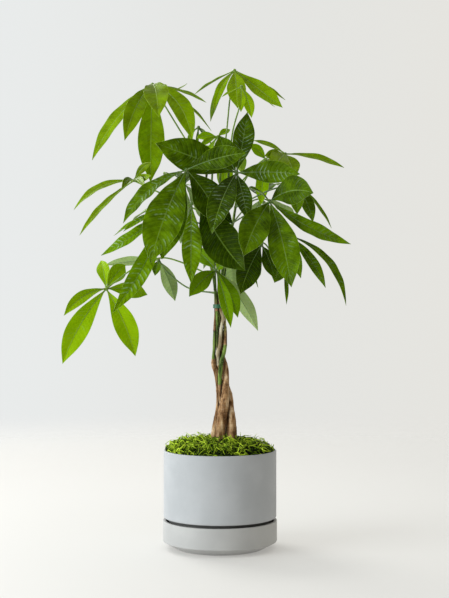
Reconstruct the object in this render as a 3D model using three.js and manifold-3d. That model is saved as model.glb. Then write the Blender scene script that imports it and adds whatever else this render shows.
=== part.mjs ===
// A money tree (Pachira aquatica) in a grey stoneware pot that stands in its own saucer.
// Five young trees are planted together and wound round each other into one braided trunk, held by a tie.
// Each tree bears palmate leaves: a long stalk, and at its end a hub with drooping leaflets all round.
// Units are millimetres. +Z is up, +X is to the right seen from the front, +Y is to the back.
// The origin is the middle of the saucer's flat underside.

import * as THREE from "three";
import { mergeVertices } from "three/addons/utils/BufferGeometryUtils.js";
import Module from "manifold-3d";

const wasm = await Module();
wasm.setup();

// Driving dimensions of the saucer
const SAUCER_RADIUS = 90;
const SAUCER_FOOT_RADIUS = 68.5;
const SAUCER_HEIGHT = 44;
const SAUCER_CHAMFER = 11.5;
const SAUCER_WALL = 5;
const SAUCER_FLOOR = 7;

// Driving dimensions of the pot
const POT_RADIUS = 89;
const POT_TOP = 154;
const POT_SHOULDER = 50;
const POT_FOOT_RADIUS = 69;
const POT_NECK_RADIUS = 80.5;
const POT_WALL = 4.2;
const POT_FLOOR = 9;
const DRAIN_RADIUS = 8;

// Driving dimensions of the filling
const SOIL_TOP = 144;
const MOSS_TOP = 168;
const MOSS_EDGE = 153;

// Driving dimensions of the trunk
const STEM_BOTTOM = 92;
const TIE_HEIGHT = 381;
const TIE_CENTRE_X = -2.7;
const TIE_THICKNESS = 1.4;
const TIE_WIDTH = 6.2;
const BUD_LENGTH = 6;

// Driving dimensions of a leaf
const BLADE_THICKNESS = 0.8;
const STALK_RADIUS = 1.25;
const STALK_FOOT_RADIUS = 1.7;
const HUB_RADIUS = 2.7;
const BLADE_FOLD = 0.24;

// Pieces that touch keep this running gap
const GAP = 0.3;

// The front view from which leaves are placed: a level eye in front of the plant
const VIEW_DISTANCE = 2072;
const EYE = new THREE.Vector3(7.1, -VIEW_DISTANCE, 392.5);

const UP = new THREE.Vector3(0, 0, 1);
const ROUND_SEGMENTS = 36;
const STEM_SIDES = 7;
const STALK_SIDES = 5;
const TURN = Math.PI * 2;
const JOIN_TOLERANCE = 0.1;

// The moss reaches the flat sides of the many-sided pot wall
const MOSS_RADIUS = (POT_RADIUS - POT_WALL) * Math.cos(Math.PI / ROUND_SEGMENTS) - GAP;

// Colours: young leaves are yellow green and old ones deep green
const YOUNG = new THREE.Color(0x8fbf1c);
const OLD = new THREE.Color(0x2f6a14);
const STONEWARE = 0xb9c0c4;
const SAUCER_STONEWARE = 0xb4b6b4;

// A point of the front view, moved back along its line of sight
// across and up are read on the plane through the pot's axis, and back is the distance behind it
function place([across, up, back]) {
  const spread = 1 + back / VIEW_DISTANCE;
  const x = EYE.x + (across - EYE.x) * spread;
  const z = EYE.z + (up - EYE.z) * spread;
  return new THREE.Vector3(x, back, z);
}

// A closed triangle mesh from points and faces
function closedGeometry(points, faces) {
  const geometry = new THREE.BufferGeometry();
  const values = points.flatMap((point) => [point.x, point.y, point.z]);
  geometry.setAttribute("position", new THREE.Float32BufferAttribute(values, 3));
  geometry.setIndex(faces.flat());
  return geometry;
}

// A three.js geometry as a solid that can be joined and cut
function solidOf(geometry) {
  const bare = geometry.clone();
  bare.deleteAttribute("normal");
  bare.deleteAttribute("uv");
  const merged = mergeVertices(bare, 1e-4);
  const vertProperties = new Float32Array(merged.attributes.position.array);
  const triVerts = new Uint32Array(merged.index.array);
  return new wasm.Manifold(new wasm.Mesh({ numProp: 3, vertProperties, triVerts }));
}

// A solid back as a three.js geometry, without slivers, sealed hollows or scraps that a join leaves
function geometryOf(solid) {
  const pieces = solid.asOriginal().simplify(JOIN_TOLERANCE).decompose();
  const mesh = pieces.sort((one, other) => other.volume() - one.volume())[0].getMesh();
  const geometry = new THREE.BufferGeometry();
  geometry.setAttribute("position", new THREE.BufferAttribute(new Float32Array(mesh.vertProperties), 3));
  geometry.setIndex(new THREE.BufferAttribute(new Uint32Array(mesh.triVerts), 1));
  return geometry;
}

function namedMesh(name, geometry, color, roughness) {
  const shaded = geometry.index ? geometry : mergeVertices(geometry);
  shaded.computeVertexNormals();
  const material = new THREE.MeshStandardMaterial({ color, roughness, metalness: 0 });
  const mesh = new THREE.Mesh(shaded, material);
  mesh.name = name;
  return mesh;
}

// A turned piece: its outline goes once round the wall as [radius, height] and closes on itself
function turned(outline, segments) {
  const points = outline.map(([radius, height]) => new THREE.Vector2(radius, height));
  points.push(points[0].clone());
  const geometry = new THREE.LatheGeometry(points, segments);
  geometry.rotateX(Math.PI / 2);
  return geometry;
}

// Rings of points joined into one closed skin, with a flat end at each end
function skin(rings) {
  const sides = rings[0].length;
  const points = rings.flat();
  const faces = [];
  for (let ring = 0; ring + 1 < rings.length; ring += 1) {
    for (let side = 0; side < sides; side += 1) {
      const next = (side + 1) % sides;
      const a = ring * sides + side;
      const b = ring * sides + next;
      faces.push([a, b, b + sides], [a, b + sides, a + sides]);
    }
  }
  const last = (rings.length - 1) * sides;
  for (let side = 1; side + 1 < sides; side += 1) {
    faces.push([0, side + 1, side], [last, last + side, last + side + 1]);
  }
  return closedGeometry(points, faces);
}

// The saucer: a thick tray with a chamfered foot and a straight side
function saucer() {
  const inner = SAUCER_RADIUS - SAUCER_WALL;
  const outline = [
    [0, 0],
    [SAUCER_FOOT_RADIUS, 0],
    [SAUCER_RADIUS, SAUCER_CHAMFER],
    [SAUCER_RADIUS, SAUCER_HEIGHT - 1.2],
    [SAUCER_RADIUS - 1.2, SAUCER_HEIGHT],
    [inner + 1, SAUCER_HEIGHT],
    [inner, SAUCER_HEIGHT - 1.2],
    [inner, SAUCER_CHAMFER + 6],
    [POT_FOOT_RADIUS + 6, SAUCER_FLOOR],
    [0, SAUCER_FLOOR],
  ];
  return turned(outline, ROUND_SEGMENTS);
}

// The pot's inside wall as [radius, height], from the rim down to the floor
function potInside() {
  return [
    [POT_RADIUS - POT_WALL, POT_TOP - 2],
    [POT_RADIUS - POT_WALL, POT_SHOULDER + 4],
    [POT_NECK_RADIUS - POT_WALL + 1, POT_SHOULDER - 1],
    [POT_NECK_RADIUS - POT_WALL, SAUCER_HEIGHT - 3],
    [POT_FOOT_RADIUS - POT_WALL, SAUCER_FLOOR + POT_FLOOR + 6],
    [POT_FOOT_RADIUS - POT_WALL - 6, SAUCER_FLOOR + POT_FLOOR],
  ];
}

// The pot: a straight cylinder whose foot is drawn in to stand inside the saucer
function pot() {
  const foot = SAUCER_FLOOR + GAP;
  const outline = [
    [DRAIN_RADIUS, foot],
    [POT_FOOT_RADIUS, foot],
    [POT_FOOT_RADIUS + 5, foot + 5],
    [POT_NECK_RADIUS, SAUCER_HEIGHT - 5],
    [POT_NECK_RADIUS + 1, SAUCER_HEIGHT + 2.5],
    [POT_RADIUS - 1, POT_SHOULDER - 1.4],
    [POT_RADIUS, POT_SHOULDER],
    [POT_RADIUS, POT_TOP - 1.6],
    [POT_RADIUS - 1.4, POT_TOP],
    [POT_RADIUS - POT_WALL + 1.2, POT_TOP],
    ...potInside(),
    [DRAIN_RADIUS, SAUCER_FLOOR + POT_FLOOR],
  ];
  return turned(outline, ROUND_SEGMENTS);
}

// The five stems, each as the points that its axis passes: [across, height, back, radius]
// Two of them are thick at the foot and cross in front, and all five are thin and green above the tie
const STEMS = [
  {
    name: "stem_left_front",
    route: [
      [14, 92, 15, 5.5], [14, 140, 15, 5.5], [13.5, 173, 14.5, 5.2], [13, 199, 13.5, 4.4],
      [12, 220, 12.5, 3.6], [7.2, 240, 12.5, 3], [2.8, 258, 12.8, 3], [-3.2, 275, 12, 2.6],
      [-6.4, 288, 8.4, 2.55], [-5.6, 298, 5, 2.45], [-3.9, 308, 1.3, 2.35], [-3.6, 318, -1, 2.35],
      [-3.6, 328, -1.4, 2.4], [-3.6, 340, -1.8, 2.4], [-3.6, 352, -3.2, 2.5], [-4.4, 362, -4, 2.5],
      [-5, 372, -3.7, 2.4], [-5.2, 382, -3.4, 2.3], [-6.2, 395, -4, 2.3],
      [-11, 430, -8, 2.2], [-22, 480, -12, 2.1], [-25, 540, -12, 1.9], [-20, 600, -10, 1.7],
    ],
  },
  {
    name: "stem_middle",
    route: [
      [-1, 92, -11, 6.6], [-1, 140, -11, 6.4], [-0.3, 173, -10.5, 6.4], [2.4, 197, -10, 7.1],
      [4.7, 215, -9, 7.6], [8.4, 239, -6.5, 6.4], [8.9, 255, -5, 5.3], [9.8, 278, -1.4, 4.6],
      [8.2, 288, 0.6, 4.2], [5.3, 298, 2, 3.8], [2.2, 308, 0.8, 3.4], [3.4, 318, 1.4, 3],
      [3.6, 328, 1.6, 2.9], [2.9, 340, 1.8, 2.9], [1.2, 352, 3, 2.7], [0.2, 362, 4, 2.5],
      [-2.2, 372, 5.2, 2.4], [-2.7, 382, 4.5, 2.3], [-2.6, 395, 5, 2.3],
      [-1, 450, 8, 2.2], [0, 520, 12, 2.1], [0, 580, 8, 1.9], [2, 635, 4, 1.7],
    ],
  },
  {
    name: "stem_right_front",
    route: [
      [19, 92, -6, 8.2], [19, 140, -6, 8], [19, 173, -6.5, 7.8], [18.7, 197, -6, 6.6],
      [17.3, 220, -2.6, 5], [15.8, 235, 3, 4.6], [13, 248, 6.4, 4.2], [8, 262, 8.6, 3.7],
      [2.8, 278, 7.5, 3.3], [-2.2, 288, 2.2, 3.2], [-2.4, 298, -2, 3.3], [-3.5, 308, -4.6, 3],
      [-0.6, 318, -5.6, 2.5], [0, 328, -5.6, 2.35], [1, 340, -5.6, 2.35], [2.6, 352, -4.8, 2.4],
      [4.8, 362, -3.6, 2.4], [1.8, 372, -3.6, 2.4], [-0.2, 382, -3.4, 2.3],
      [0.4, 395, -5, 2.3], [4, 440, -14, 2.2], [9, 490, -24, 2.1], [13, 550, -28, 1.9],
      [14, 605, -30, 1.7],
    ],
  },
  {
    name: "stem_left_back",
    route: [
      [-12, 92, 8, 6], [-11.6, 140, 8, 6], [-9.6, 173, 8, 5.6], [-6.4, 199, 8, 4.2],
      [-3.5, 217, 8.5, 3.6], [-2.9, 233, 8, 3.2], [-3.8, 252, 6, 2.7], [-5.7, 268, 4, 2.7],
      [-7.8, 278, 2.4, 2.6], [-10.6, 288, 0.4, 3.1], [-10.4, 298, 0, 3.1], [-9.4, 308, 0.4, 2.8],
      [-8.7, 318, 1.4, 2.8], [-8.7, 328, 1.5, 2.75], [-8.3, 340, 1.4, 2.6], [-7.7, 352, 1, 2.6],
      [-7.2, 362, 0.8, 2.5], [-6.9, 372, 1.2, 2.4], [-6.9, 382, 1.5, 2.3], [-7.2, 395, 3, 2.3],
      [-9, 440, 18, 2.2], [-13, 500, 32, 2.1], [-14, 560, 38, 1.9], [-12, 605, 40, 1.7],
    ],
  },
  {
    name: "stem_right_back",
    route: [
      [2, 92, 13.5, 6], [2, 140, 12.5, 6], [2.6, 173, 10.8, 5.8], [4, 199, 8, 4.4],
      [4.4, 215, 5.4, 3.7], [1.6, 230, 2.4, 3.2], [0.3, 245, -1.2, 3.1], [0, 258, -4.4, 3],
      [-0.2, 268, -6.6, 3.1], [0.8, 278, -8.4, 3.4], [1.6, 288, -8, 3.4], [3.2, 298, -6.8, 3.3],
      [6.2, 308, -5.7, 3.1], [8, 318, -4, 2.8], [8.4, 328, -2.6, 2.7], [8.2, 340, -1.2, 2.6],
      [7.2, 352, 0.8, 2.6], [6.6, 362, 1.6, 2.4], [2.4, 372, 2, 2.4], [1.5, 382, 1.5, 2.3],
      [1.8, 395, 2, 2.3], [8, 440, 10, 2.2], [18, 500, 26, 2.1], [26, 550, 34, 1.9], [28, 595, 36, 1.7],
    ],
  },
];

// A stem's axis and radius at a height, as [x, y, radius] on a smooth curve through its route
function stemAt(stem, height) {
  const route = stem.route;
  const found = route.findIndex((point) => point[1] > height);
  const end = found < 0 ? route.length - 1 : Math.max(found, 1);
  const at = (index) => route[THREE.MathUtils.clamp(index, 0, route.length - 1)];
  const rise = at(end)[1] - at(end - 1)[1];
  const t = THREE.MathUtils.clamp((height - at(end - 1)[1]) / rise, 0, 1);
  const slope = (index, axis) => {
    const [before, after] = [at(index - 1), at(index + 1)];
    return (after[axis] - before[axis]) / (after[1] - before[1]);
  };
  return [0, 2, 3].map((axis) => {
    const [low, high] = [at(end - 1)[axis], at(end)[axis]];
    const leave = slope(end - 1, axis) * rise;
    const arrive = slope(end, axis) * rise;
    const eased = t * t * (3 - 2 * t);
    return low + (high - low) * eased + leave * t * (1 - t) * (1 - t) - arrive * t * t * (1 - t);
  });
}

// The heights of a stem's rings: close together where it is wound, further apart where it is straight
function stemHeights(stem) {
  const top = stem.route[stem.route.length - 1][1];
  const heights = [STEM_BOTTOM, 130, 160];
  for (let height = 175; height < 396; height += 11) {
    heights.push(height);
  }
  const shootSteps = 6;
  for (let step = 1; step <= shootSteps; step += 1) {
    heights.push(THREE.MathUtils.lerp(395, top, step / shootSteps));
  }
  return heights;
}

// The point of a stem's axis at a height, on the straight run between two of its rings
function stemAxis(stem, height) {
  const heights = stemHeights(stem);
  const above = heights.findIndex((one) => one > height);
  const [low, high] = [heights[above - 1], heights[above]].map((one) => {
    const [x, y] = stemAt(stem, one);
    return new THREE.Vector3(x, y, one);
  });
  return low.lerp(high, (height - low.z) / (high.z - low.z));
}

// One stem as a stack of level rings, grown all round by a margin, with a short pointed bud on top
function stemGeometry(stem, margin) {
  const rings = stemHeights(stem).map((height) => {
    const [x, y, radius] = stemAt(stem, height);
    return ringAt(new THREE.Vector3(x, y, height), radius + margin);
  });
  const top = stem.route[stem.route.length - 1];
  rings.push(ringAt(new THREE.Vector3(top[0], top[2], top[1] + BUD_LENGTH), 0.7 + margin));
  return skin(rings);
}

function ringAt(centre, radius) {
  const ring = [];
  for (let side = 0; side < STEM_SIDES; side += 1) {
    const angle = (side / STEM_SIDES) * TURN;
    ring.push(new THREE.Vector3(Math.cos(angle) * radius, Math.sin(angle) * radius, 0).add(centre));
  }
  return ring;
}

// The soil: fills the pot to below the rim, with a plain hole for each stem
function soil(stemHoles) {
  const [rim, shoulder, neck, foot, floor] = potInside().map(([radius, height]) => [radius - GAP, height]);
  const outline = [
    [0, floor[1] + GAP],
    [floor[0], floor[1] + GAP],
    foot,
    neck,
    shoulder,
    [rim[0], SOIL_TOP],
    [0, SOIL_TOP],
  ];
  const body = turned(outline, ROUND_SEGMENTS);
  return geometryOf(stemHoles.reduce((rest, hole) => rest.subtract(hole), solidOf(body)));
}

// The height of the moss at a distance from the pot's axis, with its lumps
function mossHeight(radius, angle) {
  const share = radius / MOSS_RADIUS;
  const mound = THREE.MathUtils.lerp(MOSS_TOP, MOSS_EDGE, Math.pow(share, 3));
  const lumps = Math.sin(angle * 5 + radius * 0.11) * Math.cos(angle * 3 - radius * 0.17);
  const curls = Math.sin(angle * 11 - radius * 0.23);
  return mound + (lumps * 2.2 + curls * 1.3) * Math.min(share * 2, 1);
}

// The moss: a mound with a lumpy top, flat below, and curly tufts that stand out of it
function moss(stemHoles) {
  const below = SOIL_TOP + GAP;
  const around = 34;
  const outward = 6;
  const rings = [];
  for (let step = 0; step <= outward; step += 1) {
    const radius = Math.max((step / outward) * MOSS_RADIUS, 0.5);
    const ring = [];
    for (let side = 0; side < around; side += 1) {
      const angle = (side / around) * TURN;
      const height = mossHeight(radius, angle);
      ring.push(new THREE.Vector3(Math.cos(angle) * radius, Math.sin(angle) * radius, height));
    }
    rings.push(ring);
  }
  rings.push(rings[outward].map((point) => point.clone().setZ(below)));
  let body = solidOf(skin(rings.reverse()));
  for (const tuft of mossTufts()) {
    body = body.add(solidOf(tuft));
  }
  return geometryOf(stemHoles.reduce((rest, hole) => rest.subtract(hole), body));
}

// Curly tufts: each is a low arch whose two ends are sunk in the mound
function mossTufts() {
  const tufts = [];
  const count = 20;
  const golden = 2.399963;
  for (let index = 0; index < count; index += 1) {
    const radius = 26 + 52 * Math.sqrt((index + 0.5) / count);
    const angle = index * golden;
    const heading = angle + 1.1 + Math.sin(index * 1.7) * 0.9;
    const reach = 7 + 3 * Math.sin(index * 2.3);
    const rise = 4.5 + 2 * Math.cos(index * 1.3);
    const top = mossHeight(radius, angle);
    const middle = new THREE.Vector3(Math.cos(angle) * radius, Math.sin(angle) * radius, top);
    const along = new THREE.Vector3(Math.cos(heading), Math.sin(heading), 0).multiplyScalar(reach);
    const sink = UP.clone().multiplyScalar(-4);
    const points = [
      middle.clone().sub(along).add(sink),
      middle.clone().addScaledVector(along, -0.7).addScaledVector(UP, rise * 0.4),
      middle.clone().addScaledVector(UP, rise),
      middle.clone().addScaledVector(along, 0.7).addScaledVector(UP, rise * 0.4),
      middle.clone().add(along).add(sink),
    ];
    const inside = points.every((point) => Math.hypot(point.x, point.y) < MOSS_RADIUS - 2);
    if (inside) {
      tufts.push(tube(new THREE.CatmullRomCurve3(points), 5, 3, () => 1.3));
    }
  }
  return tufts;
}

// A tube along a curve, whose radius follows the share of its length
function tube(curve, steps, sides, radiusAt) {
  const frames = curve.computeFrenetFrames(steps, false);
  const rings = [];
  for (let step = 0; step <= steps; step += 1) {
    const share = step / steps;
    const centre = curve.getPointAt(share);
    const ring = [];
    for (let side = 0; side < sides; side += 1) {
      const angle = (side / sides) * TURN;
      const spoke = frames.normals[step].clone().multiplyScalar(Math.cos(angle));
      spoke.addScaledVector(frames.binormals[step], Math.sin(angle));
      ring.push(centre.clone().addScaledVector(spoke, radiusAt(share)));
    }
    rings.push(ring);
  }
  return skin(rings);
}

// The tie: a plastic band round the five stems at the top of the braid
function tie() {
  const [x, y, radius] = stemAt(STEMS[0], TIE_HEIGHT);
  const inner = Math.hypot(x - TIE_CENTRE_X, y) + radius + GAP * 3;
  const outer = inner + TIE_THICKNESS;
  const half = TIE_WIDTH / 2;
  const outline = [
    [inner, -half],
    [outer - 0.4, -half],
    [outer, -half + 0.5],
    [outer, half - 0.5],
    [outer - 0.4, half],
    [inner, half],
  ];
  const band = turned(outline, 18);
  band.translate(TIE_CENTRE_X, 0, TIE_HEIGHT);
  return band;
}

// A direction made square to another
function squareTo(direction, along) {
  return direction.clone().addScaledVector(along, -direction.dot(along)).normalize();
}

// One leaflet: an arched blade folded along its rib, widest past its middle, with a pointed tip
// facing turns its upper side from its natural lie (0) to the front (1), or its underside (-1)
function leaflet(hub, [across, up, back, width, arch, facing]) {
  const tip = place([across, up, back]);
  const chord = tip.clone().sub(hub);
  const length = chord.length();
  const along = chord.clone().normalize();
  const outward = new THREE.Vector3(chord.x, chord.y, 0).normalize();
  const natural = squareTo(outward.add(UP), along);
  const front = squareTo(EYE.clone().sub(hub).normalize(), along);
  const face = natural.clone().multiplyScalar(1 - Math.abs(facing)).addScaledVector(front, facing);
  const root = hub.clone().addScaledVector(along, HUB_RADIUS * 0.6);
  const control = hub.clone().addScaledVector(chord, 0.5).addScaledVector(natural, arch * length * 2);
  const rib = new THREE.QuadraticBezierCurve3(root, control, tip);
  const stations = [0, 0.2, 0.42, 0.64, 0.85];
  const rings = stations.map((share) => bladeRing(rib, share, face, width / 2));
  return bladeSkin(rings, tip);
}

// Six points round the blade: edge, rib and edge above, and the same below
function bladeRing(rib, share, face, halfWidth) {
  const centre = rib.getPoint(share);
  const along = rib.getTangent(share);
  const normal = squareTo(face, along);
  const side = new THREE.Vector3().crossVectors(along, normal);
  const outline = Math.pow(Math.sin(Math.PI * Math.pow(share, 1.25)), 0.95);
  const half = Math.max(halfWidth * outline, 1.3);
  const lift = half * BLADE_FOLD;
  const ring = [-1, 0, 1, 1, 0, -1].map((edge, index) => {
    const above = index < 3 ? BLADE_THICKNESS : 0;
    const point = centre.clone().addScaledVector(side, edge * half);
    return point.addScaledVector(normal, Math.abs(edge) * lift + above);
  });
  return ring;
}

// The skin of a blade, split into triangles alike above and below, closed at the tip by one point
function bladeSkin(rings, tip) {
  const points = rings.flat();
  points.push(tip);
  const tipIndex = points.length - 1;
  const faces = [];
  for (let ring = 0; ring + 1 < rings.length; ring += 1) {
    const a = ring * 6;
    const b = a + 6;
    faces.push([a, a + 1, b + 1], [a, b + 1, b], [a + 1, a + 2, b + 1], [a + 2, b + 2, b + 1]);
    faces.push([a + 5, b + 4, a + 4], [a + 5, b + 5, b + 4], [a + 4, b + 4, a + 3], [a + 3, b + 4, b + 3]);
    faces.push([a + 2, a + 3, b + 3], [a + 2, b + 3, b + 2], [a + 5, a, b], [a + 5, b, b + 5]);
  }
  const last = (rings.length - 1) * 6;
  for (let side = 0; side < 6; side += 1) {
    faces.push([last + side, last + ((side + 1) % 6), tipIndex]);
  }
  faces.push([0, 5, 4], [0, 4, 1], [1, 4, 3], [1, 3, 2]);
  return closedGeometry(points, faces);
}

// One leaf: its stalk from the stem, its hub and its leaflets, grown as one piece
function leaf(plan, stemSeats) {
  const stem = STEMS.find((one) => one.name === plan.stem);
  const hub = place(plan.hub);
  const foot = stemAxis(stem, plan.foot);
  const stalk = new THREE.CatmullRomCurve3([foot, ...plan.stalk.map(place), hub], false, "catmullrom", 0.5);
  const radiusAt = (share) => THREE.MathUtils.lerp(STALK_FOOT_RADIUS, STALK_RADIUS, Math.min(share * 6, 1));
  let body = solidOf(tube(stalk, 4 + 2 * plan.stalk.length, STALK_SIDES, radiusAt));
  const knot = new THREE.IcosahedronGeometry(HUB_RADIUS, 0);
  knot.translate(hub.x, hub.y, hub.z);
  body = body.add(solidOf(knot));
  for (const blade of plan.blades) {
    body = body.add(solidOf(leaflet(hub, blade)));
  }
  return geometryOf(body.subtract(stemSeats.get(plan.stem)));
}

// The leaves, from the top of the crown down
// age is 0 on a young yellow-green leaf and 1 on an old dark one; foot is the stalk's height on its stem
// stalk, hub and blades are [across, up, back], and a blade adds its width, its arch and its facing
const LEAVES = [
  {
    name: "leaf_top_left", age: 0.15, stem: "stem_left_front", foot: 588,
    stalk: [[-51, 639, -8], [-84, 693, -10]],
    hub: [-107, 732, -10],
    blades: [
      [-202, 612, 10, 24, 0.07, 0.6],
      [-151, 643, -95, 29, 0.08, 0.8],
      [-110, 577, 40, 43, 0.05, 1],
      [-97, 680, -112, 38, 0.12, 0.8],
      [-44, 643, -60, 31, 0.14, 0.7],
      [-14, 658, 70, 16, 0.07, 0.4],
      [-22, 703, 85, 15, 0.03, 0.1],
      [-52, 733, 110, 5, -0.08, 0],
    ],
  },
  {
    name: "leaf_top", age: 0.2, stem: "stem_middle", foot: 600,
    stalk: [[9, 645, -5], [16, 713, 14]],
    hub: [23, 754, 20],
    blades: [
      [-40, 716, 80, 13, 0.02, 0.2],
      [-9, 692, -10, 14, 0.09, 0.6],
      [-15, 673, 60, 13, 0.1, -0.4],
      [28, 694, -25, 30, 0.05, 1],
      [103, 707, 30, 20, 0.01, 0.3],
      [99, 695, -15, 27, 0, 0.6],
      [86, 696, 75, 18, -0.02, 0.2],
    ],
  },
  {
    name: "leaf_top_small", age: 0.15, stem: "stem_right_front", foot: 598,
    stalk: [[20, 657, -40], [33, 705, -62]],
    hub: [34, 728, -68],
    blades: [
      [3, 712, -80, 6, 0.02, 0.3],
      [33, 688, -100, 13, 0.06, 0.8],
      [41, 697, -55, 14, 0.06, 0.8],
      [50, 679, -80, 16, 0.06, 1],
    ],
  },
  {
    name: "leaf_young", age: 0, stem: "stem_middle", foot: 628,
    stalk: [],
    hub: [-4, 649, 22],
    blades: [
      [-37, 647, 18, 13, 0.08, 0.8],
      [-32, 633, 0, 9, 0.06, 0.8],
      [-22, 615, 34, 8, 0.05, 0.8],
      [16, 660, 40, 11, 0.05, 0.6],
    ],
  },
  {
    name: "leaf_bud", age: 0.3, stem: "stem_left_back", foot: 596,
    stalk: [[-9, 628, 48], [-24, 650, 56]],
    hub: [-34, 664, 60],
    blades: [
      [-50, 640, 52, 8, 0.12, 0.4],
      [-37, 632, 30, 5, 0.02, 0.6],
      [-21, 646, 92, 6, 0.1, 0.2],
    ],
  },
  {
    name: "leaf_far_left", age: 0.24, stem: "stem_left_back", foot: 525,
    stalk: [[-92, 559, 26], [-112, 568, 28]],
    hub: [-136, 580, 30],
    blades: [
      [-231, 533, 40, 17, 0.13, 0.5],
      [-222, 493, -10, 13, 0.05, 0.4],
      [-109, 609, -40, 12, 0.06, 0.9],
      [-109, 588, -44, 12, 0, 0.9],
      [-118, 567, -45, 10, 0.1, 0.8],
      [-156, 567, -38, 10, 0.1, 0.6],
    ],
  },
  {
    name: "leaf_front_left", age: 0.9, stem: "stem_left_front", foot: 552,
    stalk: [[-40, 578, -62]],
    hub: [-53, 597, -100],
    blades: [
      [-153, 512, -120, 26, 0.1, 0.5],
      [-110, 449, -150, 57, 0.04, 1],
      [-92, 455, -105, 50, 0.03, 0.9],
      [43, 624, -140, 34, 0.04, 0.9],
      [3, 510, -85, 50, 0.05, 0.9],
    ],
  },
  {
    name: "leaf_front_middle", age: 0.8, stem: "stem_right_front", foot: 556,
    stalk: [],
    hub: [26, 592, -60],
    blades: [
      [127, 590, -110, 34, 0.02, 0.9],
      [43, 688, -40, 33, 0.02, 1],
      [-1, 651, -28, 34, 0.03, 1],
      [-102, 639, -104, 50, 0, 0.9],
      [-13, 495, -165, 39, 0.06, 0.9],
      [44, 517, -115, 26, 0.04, 0.9],
    ],
  },
  {
    name: "leaf_mid_left", age: 0.8, stem: "stem_left_front", foot: 508,
    stalk: [],
    hub: [-84, 533, -40],
    blades: [
      [-168, 492, -52, 15, 0.05, 0.4],
      [-140, 513, 8, 17, 0.12, 0.3],
      [-153, 499, -78, 10, 0.06, 0.5],
      [-188, 461, -30, 20, -0.02, 0.6],
      [-170, 371, -90, 29, -0.05, 0.9],
    ],
  },
  {
    name: "leaf_hanging", age: 0.75, stem: "stem_left_front", foot: 484,
    stalk: [[-48, 520, -80]],
    hub: [-45, 543, -125],
    blades: [
      [-46, 417, -155, 28, 0.05, 0.9],
      [-42, 427, -115, 26, 0.04, 0.9],
    ],
  },
  {
    name: "leaf_low_left", age: 0, stem: "stem_left_front", foot: 428,
    stalk: [[-65, 452, -6], [-97, 457, -10], [-135, 442, -15]],
    hub: [-180, 409, -20],
    blades: [
      [-188, 453, 30, 21, 0.05, 1],
      [-150, 446, 20, 26, 0.05, 1],
      [-115, 399, 30, 25, 0.05, 1],
      [-134, 302, -30, 35, 0.04, 1],
      [-249, 290, -40, 35, 0.05, 1],
      [-247, 366, -75, 19, 0.1, 0.7],
    ],
  },
  {
    name: "leaf_low_left_back", age: 0.5, stem: "stem_left_back", foot: 402,
    stalk: [[-48, 409, 22], [-81, 433, 32]],
    hub: [-97, 454, 38],
    blades: [
      [-71, 389, 80, 24, 0.06, -0.9],
      [-103, 429, 12, 14, 0.06, 0.6],
      [-182, 446, 78, 17, 0.02, -0.7],
    ],
  },
  {
    name: "leaf_low_middle", age: 0.4, stem: "stem_right_front", foot: 452,
    stalk: [],
    hub: [-6, 438, -60],
    blades: [
      [-49, 396, -112, 27, 0.06, 1],
      [17, 347, -95, 19, 0.04, 1],
      [28, 363, -60, 24, 0.05, 0.8],
      [60, 342, -30, 25, 0.05, -0.8],
      [-40, 470, -28, 24, 0.05, 0.9],
      [5, 450, -75, 14, 0.05, 0.8],
    ],
  },
  {
    name: "leaf_front_right", age: 0.8, stem: "stem_right_front", foot: 505,
    stalk: [[48, 530, -68]],
    hub: [79, 547, -100],
    blades: [
      [45, 569, -135, 16, 0.05, 0.4],
      [148, 560, -150, 44, 0.12, 0.8],
      [207, 479, -110, 23, -0.05, 0.7],
      [113, 411, -145, 45, 0.04, 1],
      [37, 460, -160, 45, 0.05, 1],
    ],
  },
  {
    name: "leaf_right_back", age: 0.7, stem: "stem_right_back", foot: 540,
    stalk: [[80, 565, -5]],
    hub: [122, 573, -20],
    blades: [
      [122, 526, -62, 22, 0.06, 0.9],
      [147, 514, -48, 20, 0.06, 0.9],
      [176, 504, 5, 10, 0.06, 0.5],
      [142, 560, 50, 18, 0.04, 0.3],
    ],
  },
  {
    name: "leaf_low_right", age: 0.7, stem: "stem_right_back", foot: 488,
    stalk: [[70, 502, 0]],
    hub: [108, 494, -10],
    blades: [
      [167, 410, -30, 17, 0.06, 0.8],
      [199, 382, -20, 14, 0.155, 0.6],
      [128, 425, -60, 18, 0.02, 0.9],
    ],
  },
  {
    name: "leaf_low_right_back", age: 0.75, stem: "stem_right_back", foot: 462,
    stalk: [[63, 482, 36], [82, 466, 40]],
    hub: [101, 451, 42],
    blades: [
      [86, 418, 8, 26, 0.06, 0.9],
      [105, 384, 36, 7, 0.04, 0.5],
      [118, 425, 85, 14, 0.04, 0.3],
    ],
  },
  {
    name: "leaf_inner_right", age: 0.85, stem: "stem_right_front", foot: 474,
    stalk: [],
    hub: [66, 478, -40],
    blades: [
      [32, 400, -85, 38, 0.05, 1],
      [86, 425, -62, 24, 0.06, 1],
      [40, 440, -5, 20, 0.06, 0.8],
    ],
  },
  {
    name: "leaf_inner_left", age: 0.85, stem: "stem_right_front", foot: 492,
    stalk: [],
    hub: [-32, 548, -60],
    blades: [
      [40, 437, -106, 58, -0.05, 1],
      [0, 450, -50, 20, 0.04, 1],
      [20, 512, -70, 26, 0.04, 1],
    ],
  },
  {
    name: "leaf_upper_right", age: 0.24, stem: "stem_right_back", foot: 574,
    stalk: [[68, 612, 36]],
    hub: [103, 622, 30],
    blades: [
      [196, 600, 40, 18, 0.05, 0.4],
      [70, 619, -25, 20, -0.02, 0.8],
      [85, 593, -35, 34, 0.06, 1],
      [118, 585, 90, 28, 0.06, 0.8],
      [53, 643, 60, 10, 0.05, 0.5],
    ],
  },
  {
    name: "leaf_sunlit", age: 0, stem: "stem_right_back", foot: 560,
    stalk: [[50, 596, 86]],
    hub: [73, 612, 110],
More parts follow.
